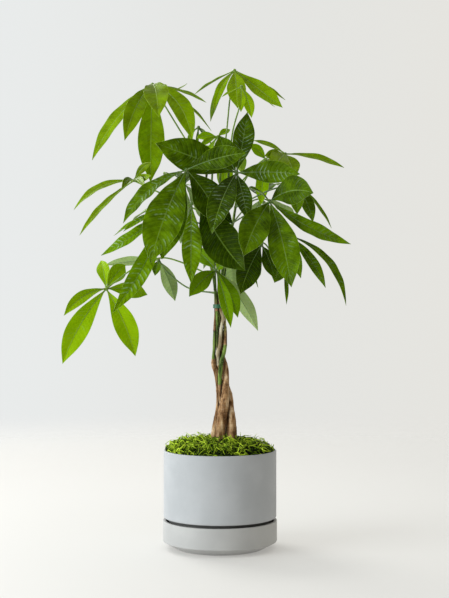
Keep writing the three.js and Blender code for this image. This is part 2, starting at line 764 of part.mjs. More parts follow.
    blades: [
      [65, 541, 92, 22, 0.05, 1],
      [46, 637, 92, 17, 0.06, 0.8],
      [110, 598, 165, 24, 0.08, 0.4],
      [57, 580, 162, 24, 0.08, 0.4],
    ],
  },
  {
    name: "leaf_back_right", age: 0.8, stem: "stem_right_back", foot: 515,
    stalk: [[48, 545, 90]],
    hub: [66, 552, 140],
    blades: [
      [118, 512, 185, 34, 0.08, 0],
      [90, 470, 205, 36, 0.08, 0],
      [42, 478, 215, 34, 0.08, 0],
      [30, 560, 235, 34, 0.1, 0],
      [92, 572, 225, 32, 0.1, 0],
    ],
  },
  {
    name: "leaf_back_left", age: 0.85, stem: "stem_left_back", foot: 545,
    stalk: [[-40, 570, 90]],
    hub: [-56, 574, 140],
    blades: [
      [-94, 512, 165, 34, 0.08, 0],
      [-62, 480, 195, 36, 0.08, 0],
      [-18, 505, 205, 34, 0.08, 0],
      [-20, 590, 225, 34, 0.1, 0],
      [-86, 585, 225, 32, 0.1, 0],
    ],
  },
  {
    name: "leaf_back_top", age: 0.2, stem: "stem_middle", foot: 590,
    stalk: [],
    hub: [10, 630, 90],
    blades: [
      [-50, 616, 140, 28, 0.1, 0],
      [7, 560, 122, 27, 0.04, 0.9],
      [36, 590, 175, 30, 0.08, 0],
    ],
  },
  {
    name: "leaf_back_low", age: 0.8, stem: "stem_left_back", foot: 448,
    stalk: [[6, 478, 66]],
    hub: [22, 486, 110],
    blades: [
      [-26, 440, 150, 30, 0.08, 0],
      [20, 405, 165, 32, 0.08, 0],
      [64, 430, 165, 28, 0.08, 0],
      [60, 410, 112, 9, 0.04, 0.5],
      [30, 470, 205, 30, 0.1, 0],
    ],
  },
];

// Everything, from the ground up
const group = new THREE.Group();
const stemHoles = STEMS.map((stem) => solidOf(stemGeometry(stem, GAP + 0.05)));
const stemSeats = new Map(STEMS.map((stem) => [stem.name, solidOf(stemGeometry(stem, GAP))]));

group.add(namedMesh("saucer", saucer(), SAUCER_STONEWARE, 0.75));
group.add(namedMesh("pot", pot(), STONEWARE, 0.7));
group.add(namedMesh("soil", soil(stemHoles), 0x3a2a1c, 0.95));
group.add(namedMesh("moss", moss(stemHoles), 0x7f9a2b, 0.95));
for (const stem of STEMS) {
  group.add(namedMesh(stem.name, stemGeometry(stem, 0), 0x6b5138, 0.85));
}
group.add(namedMesh("tie", tie(), 0x2f8f86, 0.5));
for (const plan of LEAVES) {
  const color = YOUNG.clone().lerp(OLD, plan.age);
  group.add(namedMesh(plan.name, leaf(plan, stemSeats), color, 0.4));
}

export default group;
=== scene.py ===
# A money tree in a grey stoneware pot that stands in its own saucer, with a bed of green moss.
# Five young trees are wound into one braided trunk, and each bears palmate leaves on long stalks.
# Everything is in metres, with +Z up and the origin under the middle of the saucer.
import math
import random

import bpy
import numpy as np
from mathutils import Matrix, Vector, noise


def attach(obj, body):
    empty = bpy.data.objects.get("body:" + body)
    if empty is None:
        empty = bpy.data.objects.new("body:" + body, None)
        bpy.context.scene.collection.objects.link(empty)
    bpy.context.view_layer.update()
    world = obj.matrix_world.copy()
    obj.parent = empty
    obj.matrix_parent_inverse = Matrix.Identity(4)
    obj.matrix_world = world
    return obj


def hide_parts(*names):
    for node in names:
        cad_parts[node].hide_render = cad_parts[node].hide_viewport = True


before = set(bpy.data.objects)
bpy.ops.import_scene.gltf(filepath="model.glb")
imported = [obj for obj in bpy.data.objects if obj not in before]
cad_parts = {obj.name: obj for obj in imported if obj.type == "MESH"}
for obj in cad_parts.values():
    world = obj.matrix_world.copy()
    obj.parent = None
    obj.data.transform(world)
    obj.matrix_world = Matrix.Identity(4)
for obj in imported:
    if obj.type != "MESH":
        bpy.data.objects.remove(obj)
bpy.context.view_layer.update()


# The camera
# It looks level at the crown from about two metres in front, as the plant was photographed.
EYE_DISTANCE = 2.072
EYE = Vector((0.0071, -EYE_DISTANCE, 0.3925))
SENSOR_HEIGHT = 36
FOCAL_LENGTH = 78.86

bpy.ops.object.select_all(action="DESELECT")
bpy.ops.object.camera_add(location=EYE, rotation=(math.radians(90), 0, 0))
camera = bpy.context.object
camera.name = "camera"
camera.data.sensor_fit = "VERTICAL"
camera.data.sensor_height = SENSOR_HEIGHT
camera.data.lens = FOCAL_LENGTH
bpy.context.scene.camera = camera
bpy.context.scene.view_settings.view_transform = "Standard"


# The saucer
# A thick tray of slip-cast stoneware in a matt grey glaze, a little warmer than the pot's.
# Its foot is chamfered, its side is straight, and its lip stands just outside the pot.
SAUCER_RADIUS = 0.090
SAUCER_FOOT_RADIUS = 0.0685
SAUCER_HEIGHT = 0.044
SAUCER_CHAMFER = 0.0115
SAUCER_WALL = 0.005
SAUCER_FLOOR = 0.007
FOOT_RECESS = 0.0012
POLE = 0.001
SAUCER_GREY = (0.44, 0.44, 0.43, 1)
SAUCER_GREY_THIN = (0.49, 0.49, 0.475, 1)


def start_fresh():
    if bpy.context.object and bpy.context.object.mode == "EDIT":
        bpy.ops.object.mode_set(mode="OBJECT")
    bpy.ops.object.select_all(action="DESELECT")


# A turned piece grows ring by ring from its first point, and closes on its axis or on itself
# One that closes on its axis starts and ends in a small ring, POLE, which is then merged
def turned_piece(name, outline, closes_on_itself=False, steps=144, centre=(0, 0)):
    start_fresh()
    radius, height = outline[0]
    bpy.ops.mesh.primitive_circle_add(vertices=steps, radius=radius, location=(*centre, height))
    piece = bpy.context.object
    piece.name = name
    bpy.ops.object.transform_apply(location=True, rotation=True, scale=True)
    bpy.ops.object.mode_set(mode="EDIT")
    bpy.ops.mesh.select_all(action="SELECT")
    for next_radius, next_height in outline[1:]:
        rise = next_height - height
        growth = next_radius / radius
        bpy.ops.mesh.extrude_edges_move(TRANSFORM_OT_translate={"value": (0, 0, rise)})
        bpy.ops.transform.resize(value=(growth, growth, 1), center_override=(*centre, next_height))
        radius, height = next_radius, next_height
    if closes_on_itself:
        bpy.ops.mesh.select_mode(type="EDGE")
        bpy.ops.mesh.select_all(action="DESELECT")
        bpy.ops.mesh.select_non_manifold()
        bpy.ops.mesh.bridge_edge_loops()
    else:
        bpy.ops.mesh.merge(type="CENTER")
        bpy.ops.mesh.select_mode(type="VERT")
        bpy.ops.mesh.select_all(action="DESELECT")
        bpy.ops.mesh.select_non_manifold()
        bpy.ops.mesh.merge(type="CENTER")
    bpy.ops.mesh.select_mode(type="VERT")
    bpy.ops.mesh.select_all(action="SELECT")
    bpy.ops.mesh.remove_doubles(threshold=0.00001)
    bpy.ops.mesh.normals_make_consistent(inside=False)
    bpy.ops.object.mode_set(mode="OBJECT")
    return piece


# Rounded edges, with flat faces that are shaded flat between them
def soften_edges(piece, width, segments, sharp_angle):
    softener = piece.modifiers.new("softened edges", "BEVEL")
    softener.limit_method = "ANGLE"
    softener.angle_limit = math.radians(18)
    softener.width = width
    softener.segments = segments
    bpy.ops.object.modifier_apply(modifier=softener.name)
    bpy.ops.object.shade_smooth_by_angle(angle=math.radians(sharp_angle))
    evener = piece.modifiers.new("even shading", "WEIGHTED_NORMAL")
    evener.keep_sharp = True
    bpy.ops.object.modifier_apply(modifier=evener.name)


# The output of a node, which can be added, subtracted and multiplied as a number can
class Wire:
    def __init__(self, finish, socket):
        self.finish = finish
        self.socket = socket

    def worked(self, operation, first, second):
        return self.finish.node("ShaderNodeMath", {"operation": operation}, {0: first, 1: second})

    def __add__(self, other):
        return self.worked("ADD", self, other)

    def __radd__(self, other):
        return self.worked("ADD", other, self)

    def __sub__(self, other):
        return self.worked("SUBTRACT", self, other)

    def __rsub__(self, other):
        return self.worked("SUBTRACT", other, self)

    def __mul__(self, other):
        return self.worked("MULTIPLY", self, other)

    def __rmul__(self, other):
        return self.worked("MULTIPLY", other, self)


# The nodes of a material or of the surroundings, which are added one by one
class Wiring:
    def __init__(self, tree):
        self.tree = tree

    def feed(self, socket, value):
        if isinstance(value, Wire):
            self.tree.links.new(value.socket, socket)
        else:
            socket.default_value = value

    def node(self, kind, settings, inputs, output=0):
        made = self.tree.nodes.new(kind)
        for name, value in settings.items():
            if name == "stops":
                ramp = made.color_ramp.elements
                while len(ramp) < len(value):
                    ramp.new(1)
                for element, (position, colour) in zip(ramp, value):
                    element.position = position
                    element.color = colour
            else:
                setattr(made, name, value)
        for name, value in inputs.items():
            self.feed(made.inputs[name], value)
        return Wire(self, made.outputs[output])

    def between(self, value, low, high):
        return self.node(
            "ShaderNodeMapRange", {"interpolation_type": "SMOOTHSTEP"},
            {"Value": value, "From Min": low, "From Max": high},
        )

    def mixed(self, share, first, second):
        return self.node("ShaderNodeMix", {"data_type": "RGBA"}, {0: share, 6: first, 7: second}, 2)

    def part_of(self, vector, axis):
        return self.node("ShaderNodeSeparateXYZ", {}, {0: vector}, axis)

    def length_of(self, vector):
        return self.node("ShaderNodeVectorMath", {"operation": "LENGTH"}, {0: vector}, "Value")


# A material that is built up from nodes
class Finish(Wiring):
    def __init__(self, name, roughness, subsurface=0, specular=0.5):
        self.material = bpy.data.materials.new(name)
        self.material.use_nodes = True
        super().__init__(self.material.node_tree)
        self.surface = self.tree.nodes["Principled BSDF"]
        self.wear(Roughness=roughness, Subsurface_Weight=subsurface, Specular_IOR_Level=specular)

    def place(self, scale=(1, 1, 1)):
        where = self.node("ShaderNodeTexCoord", {}, {}, "Object")
        return self.node("ShaderNodeMapping", {}, {"Vector": where, "Scale": scale})

    def grain(self, size, detail=3, scale=(1, 1, 1)):
        inputs = {"Vector": self.place(scale), "Scale": 1 / size, "Detail": detail}
        return self.node("ShaderNodeTexNoise", {}, inputs)

    def attribute(self, name):
        return self.node("ShaderNodeAttribute", {"attribute_name": name}, {}, 2)

    def relief(self, height, depth, strength=1.0):
        inputs = {"Height": height, "Distance": depth, "Strength": strength}
        self.wear(Normal=self.node("ShaderNodeBump", {}, inputs))

    def wear(self, **inputs):
        for name, value in inputs.items():
            self.feed(self.surface.inputs[name.replace("_", " ")], value)
        return self.material


# Matt glazed stoneware: faint cloudy tone, fine pits and specks, and a satin to dry sheen
# Between two heights and inside a radius it is darkened, a painted shade for the gap between pot and saucer
def stoneware(name, grey, grey_thin, gap_shade_from, gap_shade_to, gap_shade_radius):
    finish = Finish(name, 0.6, specular=0.4)
    clouds = finish.grain(0.055, 3)
    pits = finish.grain(0.0011, 4)
    specks = finish.between(finish.grain(0.0016, 2), 0.70, 0.76)
    glaze = finish.mixed(finish.between(clouds, 0.35, 0.7), grey, grey_thin)
    speckled = finish.mixed(specks * 0.25, glaze, (0.24, 0.23, 0.21, 1))
    height = finish.part_of(finish.place(), 2)
    radius = finish.length_of(finish.place((1, 1, 0)))
    inside = finish.between(radius, gap_shade_radius + 0.0005, gap_shade_radius)
    gap_shade = inside * finish.between(height, gap_shade_from, gap_shade_from + 0.002)
    gap_shade = gap_shade * finish.between(height, gap_shade_to, gap_shade_to - 0.001)
    finish.relief(pits + clouds * 0.5, 0.00022, 0.5)
    # Painted shade: the glaze goes dark where the pot stands down inside the saucer
    coloured = finish.mixed(gap_shade, speckled, (0.100, 0.100, 0.094, 1))
    return finish.wear(Base_Color=coloured, Roughness=0.52 + 0.16 * pits)


saucer = turned_piece("saucer_ware", [
    (POLE, FOOT_RECESS),
    (SAUCER_FOOT_RADIUS - 0.007, FOOT_RECESS),
    (SAUCER_FOOT_RADIUS - 0.0058, 0),
    (SAUCER_FOOT_RADIUS, 0),
    (SAUCER_RADIUS, SAUCER_CHAMFER),
    (SAUCER_RADIUS, SAUCER_HEIGHT),
    (SAUCER_RADIUS - SAUCER_WALL, SAUCER_HEIGHT),
    (SAUCER_RADIUS - SAUCER_WALL, SAUCER_CHAMFER + 0.006),
    (SAUCER_FOOT_RADIUS + 0.0065, SAUCER_FLOOR),
    (POLE, SAUCER_FLOOR),
])
soften_edges(saucer, width=0.0011, segments=4, sharp_angle=40)
saucer.data.materials.append(stoneware(
    "saucer stoneware", SAUCER_GREY, SAUCER_GREY_THIN,
    SAUCER_CHAMFER + 0.002, SAUCER_HEIGHT - 0.0012, SAUCER_RADIUS - SAUCER_WALL + 0.0003,
))
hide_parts("saucer")
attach(saucer, "root")


# The pot
# A straight stoneware cylinder with a thin square rim, glazed matt blue grey inside and out.
# Its foot is drawn in below a sharp shoulder, so that it stands down inside the saucer.
POT_RADIUS = 0.089
POT_TOP = 0.154
POT_SHOULDER = 0.050
POT_FOOT_RADIUS = 0.069
POT_NECK_RADIUS = 0.0805
POT_WALL = 0.0042
POT_FLOOR = 0.009
DRAIN_RADIUS = 0.008
POT_FOOT = SAUCER_FLOOR + 0.0003
POT_GREY = (0.42, 0.435, 0.445, 1)
POT_GREY_THIN = (0.465, 0.48, 0.49, 1)

pot = turned_piece("pot_ware", [
    (DRAIN_RADIUS, POT_FOOT),
    (POT_FOOT_RADIUS, POT_FOOT),
    (POT_FOOT_RADIUS + 0.005, POT_FOOT + 0.005),
    (POT_NECK_RADIUS, SAUCER_HEIGHT - 0.005),
    (POT_NECK_RADIUS + 0.001, SAUCER_HEIGHT + 0.0025),
    (POT_RADIUS - 0.001, POT_SHOULDER - 0.0014),
    (POT_RADIUS, POT_SHOULDER),
    (POT_RADIUS, POT_TOP),
    (POT_RADIUS - POT_WALL, POT_TOP),
    (POT_RADIUS - POT_WALL, POT_SHOULDER + 0.004),
    (POT_NECK_RADIUS - POT_WALL + 0.001, POT_SHOULDER - 0.001),
    (POT_NECK_RADIUS - POT_WALL, SAUCER_HEIGHT - 0.003),
    (POT_FOOT_RADIUS - POT_WALL, POT_FOOT + POT_FLOOR + 0.0057),
    (POT_FOOT_RADIUS - POT_WALL - 0.006, SAUCER_FLOOR + POT_FLOOR),
    (DRAIN_RADIUS, SAUCER_FLOOR + POT_FLOOR),
], closes_on_itself=True)
soften_edges(pot, width=0.0009, segments=4, sharp_angle=40)
pot.data.materials.append(stoneware(
    "pot stoneware", POT_GREY, POT_GREY_THIN, 0, POT_SHOULDER - 0.001, POT_RADIUS,
))
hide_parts("pot")
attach(pot, "root")


# The soil
# Dark, crumbly potting soil that fills the pot to just below its rim, round the five stems.
soil_finish = Finish("soil", 0.95)
crumbs = soil_finish.grain(0.004, 5)
soil_colour = soil_finish.mixed(
    soil_finish.between(crumbs, 0.35, 0.7), (0.016, 0.010, 0.006, 1), (0.075, 0.045, 0.026, 1),
)
soil_finish.relief(crumbs, 0.002, 0.8)
soil_finish.wear(Base_Color=soil_colour)
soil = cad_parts["soil"]
soil.material_slots[0].material = soil_finish.material


# The moss
# A mound of curly preserved moss, bright yellow green, that hides the soil and reaches the rim.
# Its thin crinkled strands lie over each other in every direction, and some stand up or hang out.
MOSS_RADIUS = 0.0842
MOSS_UNDERSIDE = 0.1443
MOUND_TOP = 0.1672
MOUND_DROP = 0.0140
STRANDS_OVER_BED = 0.0045
RIM_CLEARANCE = 0.0004
STRAND_SHAPES = 10
STRAND_HALF_WIDTH = 0.00048
STRAND_REACH = 0.0870
CLUMPS_PER_METRE = 75
PAINTED_LIGHT_PER_METRE_UP = 45
TONE_AND_PAINTED_LIGHT_PER_METRE_LEFT = 2.2
dice = random.Random(7)


# The mound is fuller on the left
def mound_height(x, y):
    share = min(math.hypot(x, y) / MOSS_RADIUS, 1)
    return MOUND_TOP - MOUND_DROP * share ** (2.2 + 3 * max(-x / MOSS_RADIUS, 0))


moss_bed = turned_piece("moss_bed", [
    (POLE, MOSS_UNDERSIDE),
    (MOSS_RADIUS, MOSS_UNDERSIDE),
    (MOSS_RADIUS, 0.1490),
    *((MOSS_RADIUS * share, 0.160) for share in (0.93, 0.84, 0.72, 0.58, 0.44, 0.3, 0.16)),
    (POLE, 0.160),
])
for vertex in moss_bed.data.vertices:
    if vertex.co.z > 0.155:
        height = mound_height(vertex.co.x, vertex.co.y) - STRANDS_OVER_BED
        vertex.co.z = height + 0.003 * noise.noise(vertex.co * 90)
bpy.ops.object.shade_smooth_by_angle(angle=math.radians(60))

# The strands: painted shade where they lie deep, and painted light that makes them brighter and yellower
# higher up
moss_finish = Finish("moss", 0.75, subsurface=0.06, specular=0.1)
tone = moss_finish.attribute("tone")
fuzz = moss_finish.grain(0.0007, 3)
moss_ramp = moss_finish.node("ShaderNodeValToRGB", {"stops": [
    (0.0, (0.003, 0.006, 0.001, 1)),
    (0.35, (0.014, 0.028, 0.001, 1)),
    (0.62, (0.105, 0.190, 0.002, 1)),
    (1.0, (0.560, 0.750, 0.045, 1)),
]}, {"Fac": tone + 0.24 * (fuzz - 0.5)})
moss_finish.relief(fuzz, 0.0003, 0.6)
moss_finish.wear(
    Base_Color=moss_ramp, Subsurface_Radius=(0.5, 1, 0.15), Subsurface_Scale=0.0012,
)


def set_attribute(mesh, name, values):
    attribute = mesh.attributes.get(name) or mesh.attributes.new(name, "FLOAT", "POINT")
    attribute.data.foreach_set("value", np.asarray(values, np.float32))


def points_of(mesh):
    points = np.empty(len(mesh.vertices) * 3, np.float32)
    mesh.vertices.foreach_get("co", points)
    return points.reshape(-1, 3).astype(float)


# Painted shade: the bed under the strands is nearly black, for the dark gaps deep in the moss
bed_shade_tones = [0.06 + 0.1 * noise.noise(vertex.co * 300) for vertex in moss_bed.data.vertices]
set_attribute(moss_bed.data, "tone", bed_shade_tones)
moss_bed.data.materials.append(moss_finish.material)
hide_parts("moss")
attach(moss_bed, "root")


# A round bar along points, with a width at each, turned from a curve into a mesh
def bars(name, runs, resolution):
    start_fresh()
    curve = bpy.data.curves.new(name, "CURVE")
    curve.dimensions = "3D"
    curve.bevel_depth = 1
    curve.bevel_resolution = resolution
    curve.use_fill_caps = True
    for points, radii in runs:
        spline = curve.splines.new("POLY")
        spline.points.add(len(points) - 1)
        for knot, point, radius in zip(spline.points, points, radii):
            knot.co = (*point, 1)
            knot.radius = radius
    piece = bpy.data.objects.new(name, curve)
    bpy.context.scene.collection.objects.link(piece)
    piece.select_set(True)
    bpy.context.view_layer.objects.active = piece
    bpy.ops.object.convert(target="MESH")
    return bpy.context.object


# One strand lies along X: it rises out of the bed, curls over, and most tips turn down again
def strand_shape(index):
    length = dice.uniform(0.015, 0.032)
    rise = dice.uniform(0.0025, 0.0085) if index % 5 else 0.0105
    sway = dice.uniform(-0.006, 0.006)
    turns = dice.uniform(0.8, 2.2)
    phase = dice.uniform(0, math.tau)
    points = []
    widths = []
    for step in range(10):
        share = step / 9
        lift = math.sin(math.pi * min(share * 1.15, 1)) * rise
        curl = math.sin(phase + share * math.tau * turns) * 0.0019
        crook = math.cos(phase * 1.7 + share * math.tau * turns * 1.3) * 0.0012
        points.append((length * (share - 0.5), sway * share ** 2 * 2 + curl, lift + crook - 0.002))
        widths.append(STRAND_HALF_WIDTH * (1 - 0.6 * share ** 3) * (0.75 + 0.5 * math.sin(math.pi * share)))
    return points, widths


shapes = [bars(f"strand_{index}", [strand_shape(index)], resolution=0) for index in range(STRAND_SHAPES)]
strand_points = [points_of(shape.data) for shape in shapes]
strand_faces = [[list(face.vertices) for face in shape.data.polygons] for shape in shapes]


# Strands lie at random over the mound, more or less restless, and none reaches past a limit
# A strand that hangs over the edge of the mound rests on the pot's rim, or lies just above it
def moss_strands(name, count, lift, brightness, unrest=0.34, reach_limit=STRAND_REACH):
    points = []
    faces = []
    tones_and_shading = []
    used = 0
    for _ in range(count):
        kind = dice.randrange(STRAND_SHAPES)
        radius = (MOSS_RADIUS + 0.0005) * math.sqrt(dice.random())
        angle = dice.uniform(0, math.tau)
        at_edge = max(radius / MOSS_RADIUS - 0.9, 0) * 10
        x = radius * math.cos(angle)
        y = radius * math.sin(angle)
        height = mound_height(x, y) + lift + dice.uniform(-0.003, 0.003) - 0.002 * at_edge
        heading = dice.uniform(0, math.tau)
        if at_edge > 0.2:
            heading = angle + math.pi * (dice.randrange(2) + 0.5) + dice.uniform(-0.75, 0.75)
        roll = Matrix.Rotation(dice.gauss(0, unrest), 3, "X")
        pitch = Matrix.Rotation(dice.gauss(-0.1, unrest), 3, "Y")
        turn = np.array(Matrix.Rotation(heading, 3, "Z") @ (roll @ pitch)) * dice.uniform(0.7, 1.25)
        placed = strand_points[kind] @ turn.T + np.array((x, y, height))
        reach = np.hypot(placed[:, 0], placed[:, 1])
        placed[:, :2] *= np.minimum(reach_limit / reach, 1)[:, None]
        over_rim = np.maximum(placed[:, 2], POT_TOP + RIM_CLEARANCE)
        placed[:, 2] = np.where(reach > MOSS_RADIUS, over_rim, placed[:, 2])
        faces.extend([used + corner for corner in face] for face in strand_faces[kind])
        used += len(placed)
        points.append(placed)
        clump = noise.noise(Vector((x, y, 0)) * CLUMPS_PER_METRE) * 0.5
        # Painted light: strands are lighter towards the left, partly their own tone, and lighter the higher
        # they rise
        own_tone_and_shading = brightness + clump + dice.gauss(0, 0.30) - x * TONE_AND_PAINTED_LIGHT_PER_METRE_LEFT
        tones_and_shading.append(own_tone_and_shading + (placed[:, 2] - height) * PAINTED_LIGHT_PER_METRE_UP)
    mesh = bpy.data.meshes.new(name)
    mesh.from_pydata(np.concatenate(points).tolist(), [], faces)
    set_attribute(mesh, "tone", np.clip(np.concatenate(tones_and_shading), 0, 1))
    mesh.materials.append(moss_finish.material)
    piece = bpy.data.objects.new(name, mesh)
    bpy.context.scene.collection.objects.link(piece)
    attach(piece, "root")
    return piece


# The deep layer is darker, a painted shade under the top strands
moss_strands("moss_strands_deep", 1500, lift=-0.0045, brightness=0.02)
moss_strands("moss_strands_top", 2100, lift=-0.0015, brightness=0.40)
moss_strands("moss_strands_stray", 260, lift=0.004, brightness=0.5, unrest=0.9, reach_limit=0.095)
for shape in shapes:
    bpy.data.objects.remove(shape)


# The trunk
# Five young trees wound round each other by hand while they grew, each a stem of its own.
# Below they are thick, ringed brown bark; higher up they are thin and still green, with dark nodes.
# Their feet stand in the soil, and the tie holds their tops together.
STEM_BOTTOM = 92
STEM_STEP = 2.5
BUD_LENGTH = 6
NODE_SWELLING = 0.00045
NODE_HEIGHT = 1.7
SCAR_HEIGHT = 1.1
LUMPINESS = 0.16
CREVICE_SHADE_REACH = 2.6

# A route holds the points that a stem's axis passes, in millimetres: across, height, back, radius
# Its greens say how green, or below 0 how pale, the skin is at a height, and leaf scars ring its nodes
STEMS = {
    "stem_left_front": dict(
        route=[
            (14, 92, 15, 5.5), (14, 140, 15, 5.5), (13.5, 173, 14.5, 5.2), (13, 199, 13.5, 4.4),
            (12, 220, 12.5, 3.6), (7.2, 240, 12.5, 3), (2.8, 258, 12.8, 3), (-3.2, 275, 12, 2.6),
            (-6.4, 288, 8.4, 2.55), (-5.6, 298, 5, 2.45), (-3.9, 308, 1.3, 2.35), (-3.6, 318, -1, 2.35),
            (-3.6, 328, -1.4, 2.4), (-3.6, 340, -1.8, 2.4), (-3.6, 352, -3.2, 2.5),
            (-4.4, 362, -4, 2.5), (-5, 372, -3.7, 2.4), (-5.2, 382, -3.4, 2.3), (-6.2, 395, -4, 2.3),
            (-11, 430, -8, 2.2), (-22, 480, -12, 2.1), (-25, 540, -12, 1.9), (-20, 600, -10, 1.7),
        ],
        greens=[
            (300, 0.1), (322, 0.55), (345, 0.8), (372, 0.75), (375, 0.1), (380, 0.1), (386, 0.5),
            (425, 0.85),
        ],
        nodes=[232, 262, 301, 333, 377, 407, 428, 484, 508, 552, 588],
    ),
    "stem_middle": dict(
        route=[
            (-1, 92, -11, 6.6), (-1, 140, -11, 6.4), (-0.3, 173, -10.5, 6.4), (2.4, 197, -10, 7.1),
            (4.7, 215, -9, 7.6), (8.4, 239, -6.5, 6.4), (8.9, 255, -5, 5.3), (9.8, 278, -1.4, 4.6),
            (8.2, 288, 0.6, 4.2), (5.3, 298, 2, 3.8), (2.2, 308, 0.8, 3.4), (3.4, 318, 1.4, 3),
            (3.6, 328, 1.6, 2.9), (2.9, 340, 1.8, 2.9), (1.2, 352, 3, 2.7), (0.2, 362, 4, 2.5),
            (-2.2, 372, 5.2, 2.4), (-2.7, 382, 4.5, 2.3), (-2.6, 395, 5, 2.3), (-1, 450, 8, 2.2),
            (0, 520, 12, 2.1), (0, 580, 8, 1.9), (2, 635, 4, 1.7),
        ],
        greens=[(295, 0), (312, 0.1), (330, 0.42), (372, 0.5), (376, 0.1), (386, 0.45), (450, 0.85)],
        nodes=[186, 206, 226, 257, 289, 318, 352, 402, 448, 505, 560, 600],
    ),
    "stem_right_front": dict(
        route=[
            (19, 92, -6, 8.2), (19, 140, -6, 8), (19, 173, -6.5, 7.8), (18.7, 197, -6, 6.6),
            (17.3, 220, -2.6, 5), (15.8, 235, 3, 4.6), (13, 248, 6.4, 4.2), (8, 262, 8.6, 3.7),
            (2.8, 278, 7.5, 3.3), (-2.2, 288, 2.2, 3.2), (-2.4, 298, -2, 3.3), (-3.5, 308, -4.6, 3),
            (-0.6, 318, -5.6, 2.5), (0, 328, -5.6, 2.35), (1, 340, -5.6, 2.35), (2.6, 352, -4.8, 2.4),
            (4.8, 362, -3.6, 2.4), (1.8, 372, -3.6, 2.4), (-0.2, 382, -3.4, 2.3), (0.4, 395, -5, 2.3),
            (4, 440, -14, 2.2), (9, 490, -24, 2.1), (13, 550, -28, 1.9), (14, 605, -30, 1.7),
        ],
        greens=[(284, 0), (292, -0.9), (368, -0.9), (376, -0.2), (404, 0.4), (430, 0.8)],
        nodes=[189, 212, 243, 274, 343, 361, 398, 452, 474, 492, 505, 556],
    ),
    "stem_left_back": dict(
        route=[
            (-12, 92, 8, 6), (-11.6, 140, 8, 6), (-9.6, 173, 8, 5.6), (-6.4, 199, 8, 4.2),
            (-3.5, 217, 8.5, 3.6), (-2.9, 233, 8, 3.2), (-3.8, 252, 6, 2.7), (-5.7, 268, 4, 2.7),
            (-7.8, 278, 2.4, 2.6), (-10.6, 288, 0.4, 3.1), (-10.4, 298, 0, 3.1), (-9.4, 308, 0.4, 2.8),
            (-8.7, 318, 1.4, 2.8), (-8.7, 328, 1.5, 2.75), (-8.3, 340, 1.4, 2.6), (-7.7, 352, 1, 2.6),
            (-7.2, 362, 0.8, 2.5), (-6.9, 372, 1.2, 2.4), (-6.9, 382, 1.5, 2.3), (-7.2, 395, 3, 2.3),
            (-9, 440, 18, 2.2), (-13, 500, 32, 2.1), (-14, 560, 38, 1.9), (-12, 605, 40, 1.7),
        ],
        greens=[
            (262, 0), (286, 0.1), (296, 0.15), (300, 0.9), (340, 0.95), (344, 0.05), (378, 0.1),
            (386, 0.5), (425, 0.8),
        ],
        nodes=[204, 247, 293, 342, 402, 448, 525, 545],
    ),
    "stem_right_back": dict(
        route=[
            (2, 92, 13.5, 6), (2, 140, 12.5, 6), (2.6, 173, 10.8, 5.8), (4, 199, 8, 4.4),
            (4.4, 215, 5.4, 3.7), (1.6, 230, 2.4, 3.2), (0.3, 245, -1.2, 3.1), (0, 258, -4.4, 3),
            (-0.2, 268, -6.6, 3.1), (0.8, 278, -8.4, 3.4), (1.6, 288, -8, 3.4), (3.2, 298, -6.8, 3.3),
            (6.2, 308, -5.7, 3.1), (8, 318, -4, 2.8), (8.4, 328, -2.6, 2.7), (8.2, 340, -1.2, 2.6),
            (7.2, 352, 0.8, 2.6), (6.6, 362, 1.6, 2.4), (2.4, 372, 2, 2.4), (1.5, 382, 1.5, 2.3),
            (1.8, 395, 2, 2.3), (8, 440, 10, 2.2), (18, 500, 26, 2.1), (26, 550, 34, 1.9),
            (28, 595, 36, 1.7),
        ],
        greens=[
            (252, 0), (262, 0.85), (316, 0.95), (321, 0.3), (345, 0.45), (380, 0.3), (404, 0.4),
            (430, 0.85),
        ],
        nodes=[220, 256, 319, 347, 396, 462, 488, 515, 540, 560],
    ),
}


# The axis and radius of a stem at a height, smooth through its route, in millimetres
def stem_at(name, height):
    route = STEMS[name]["route"]
    end = next((index for index, point in enumerate(route) if point[1] > height), len(route) - 1)
    end = max(end, 1)
    last = len(route) - 1
    rise = route[end][1] - route[end - 1][1]
    t = min(max((height - route[end - 1][1]) / rise, 0), 1)
    eased = t * t * (3 - 2 * t)
    found = []
    for axis in (0, 2, 3):
        slopes = []
        for index in (end - 1, end):
            before = route[max(index - 1, 0)]
            after = route[min(index + 1, last)]
            slopes.append((after[axis] - before[axis]) / (after[1] - before[1]) * rise)
        low = route[end - 1][axis]
        high = route[end][axis]
        leave = slopes[0] * t * (1 - t) ** 2
        arrive = slopes[1] * t * t * (1 - t)
        found.append(low + (high - low) * eased + leave - arrive)
    return found


# The bark: faint rings and cracks on the old wood, smooth green or cream skin on the young
bark = Finish("bark", 0.6, specular=0.15)
green = bark.attribute("green")
scar = bark.attribute("scar")
crevice = bark.attribute("crevice")
bands = bark.grain(0.011, 4, (1, 1, 5))
patches = bark.grain(0.006, 4, (1, 1, 0.22))
fine = bark.grain(0.0012, 4, (1, 1, 0.7))
lenticels = bark.between(bark.grain(0.0028, 2, (1, 1, 2.2)), 0.61, 0.68)
cracks = bark.between(bark.grain(0.0035, 3, (2.2, 2.2, 0.35)), 0.56, 0.66)
wood = bark.node("ShaderNodeValToRGB", {"stops": [
    (0.0, (0.035, 0.013, 0.004, 1)),
    (0.4, (0.180, 0.084, 0.030, 1)),
    (0.62, (0.450, 0.260, 0.120, 1)),
    (0.9, (0.820, 0.620, 0.390, 1)),
]}, {"Fac": 0.2 * bands + 1.7 * patches - 0.41 + 0.3 * (fine - 0.5)})
wood = bark.mixed(cracks * 0.5, wood, (0.050, 0.024, 0.011, 1))
wood = bark.mixed(lenticels * 0.4, wood, (0.56, 0.43, 0.29, 1))
patchy = bark.between(patches, 0.35, 0.65)
skin = bark.mixed(patchy, (0.022, 0.052, 0.003, 1), (0.220, 0.320, 0.060, 1))
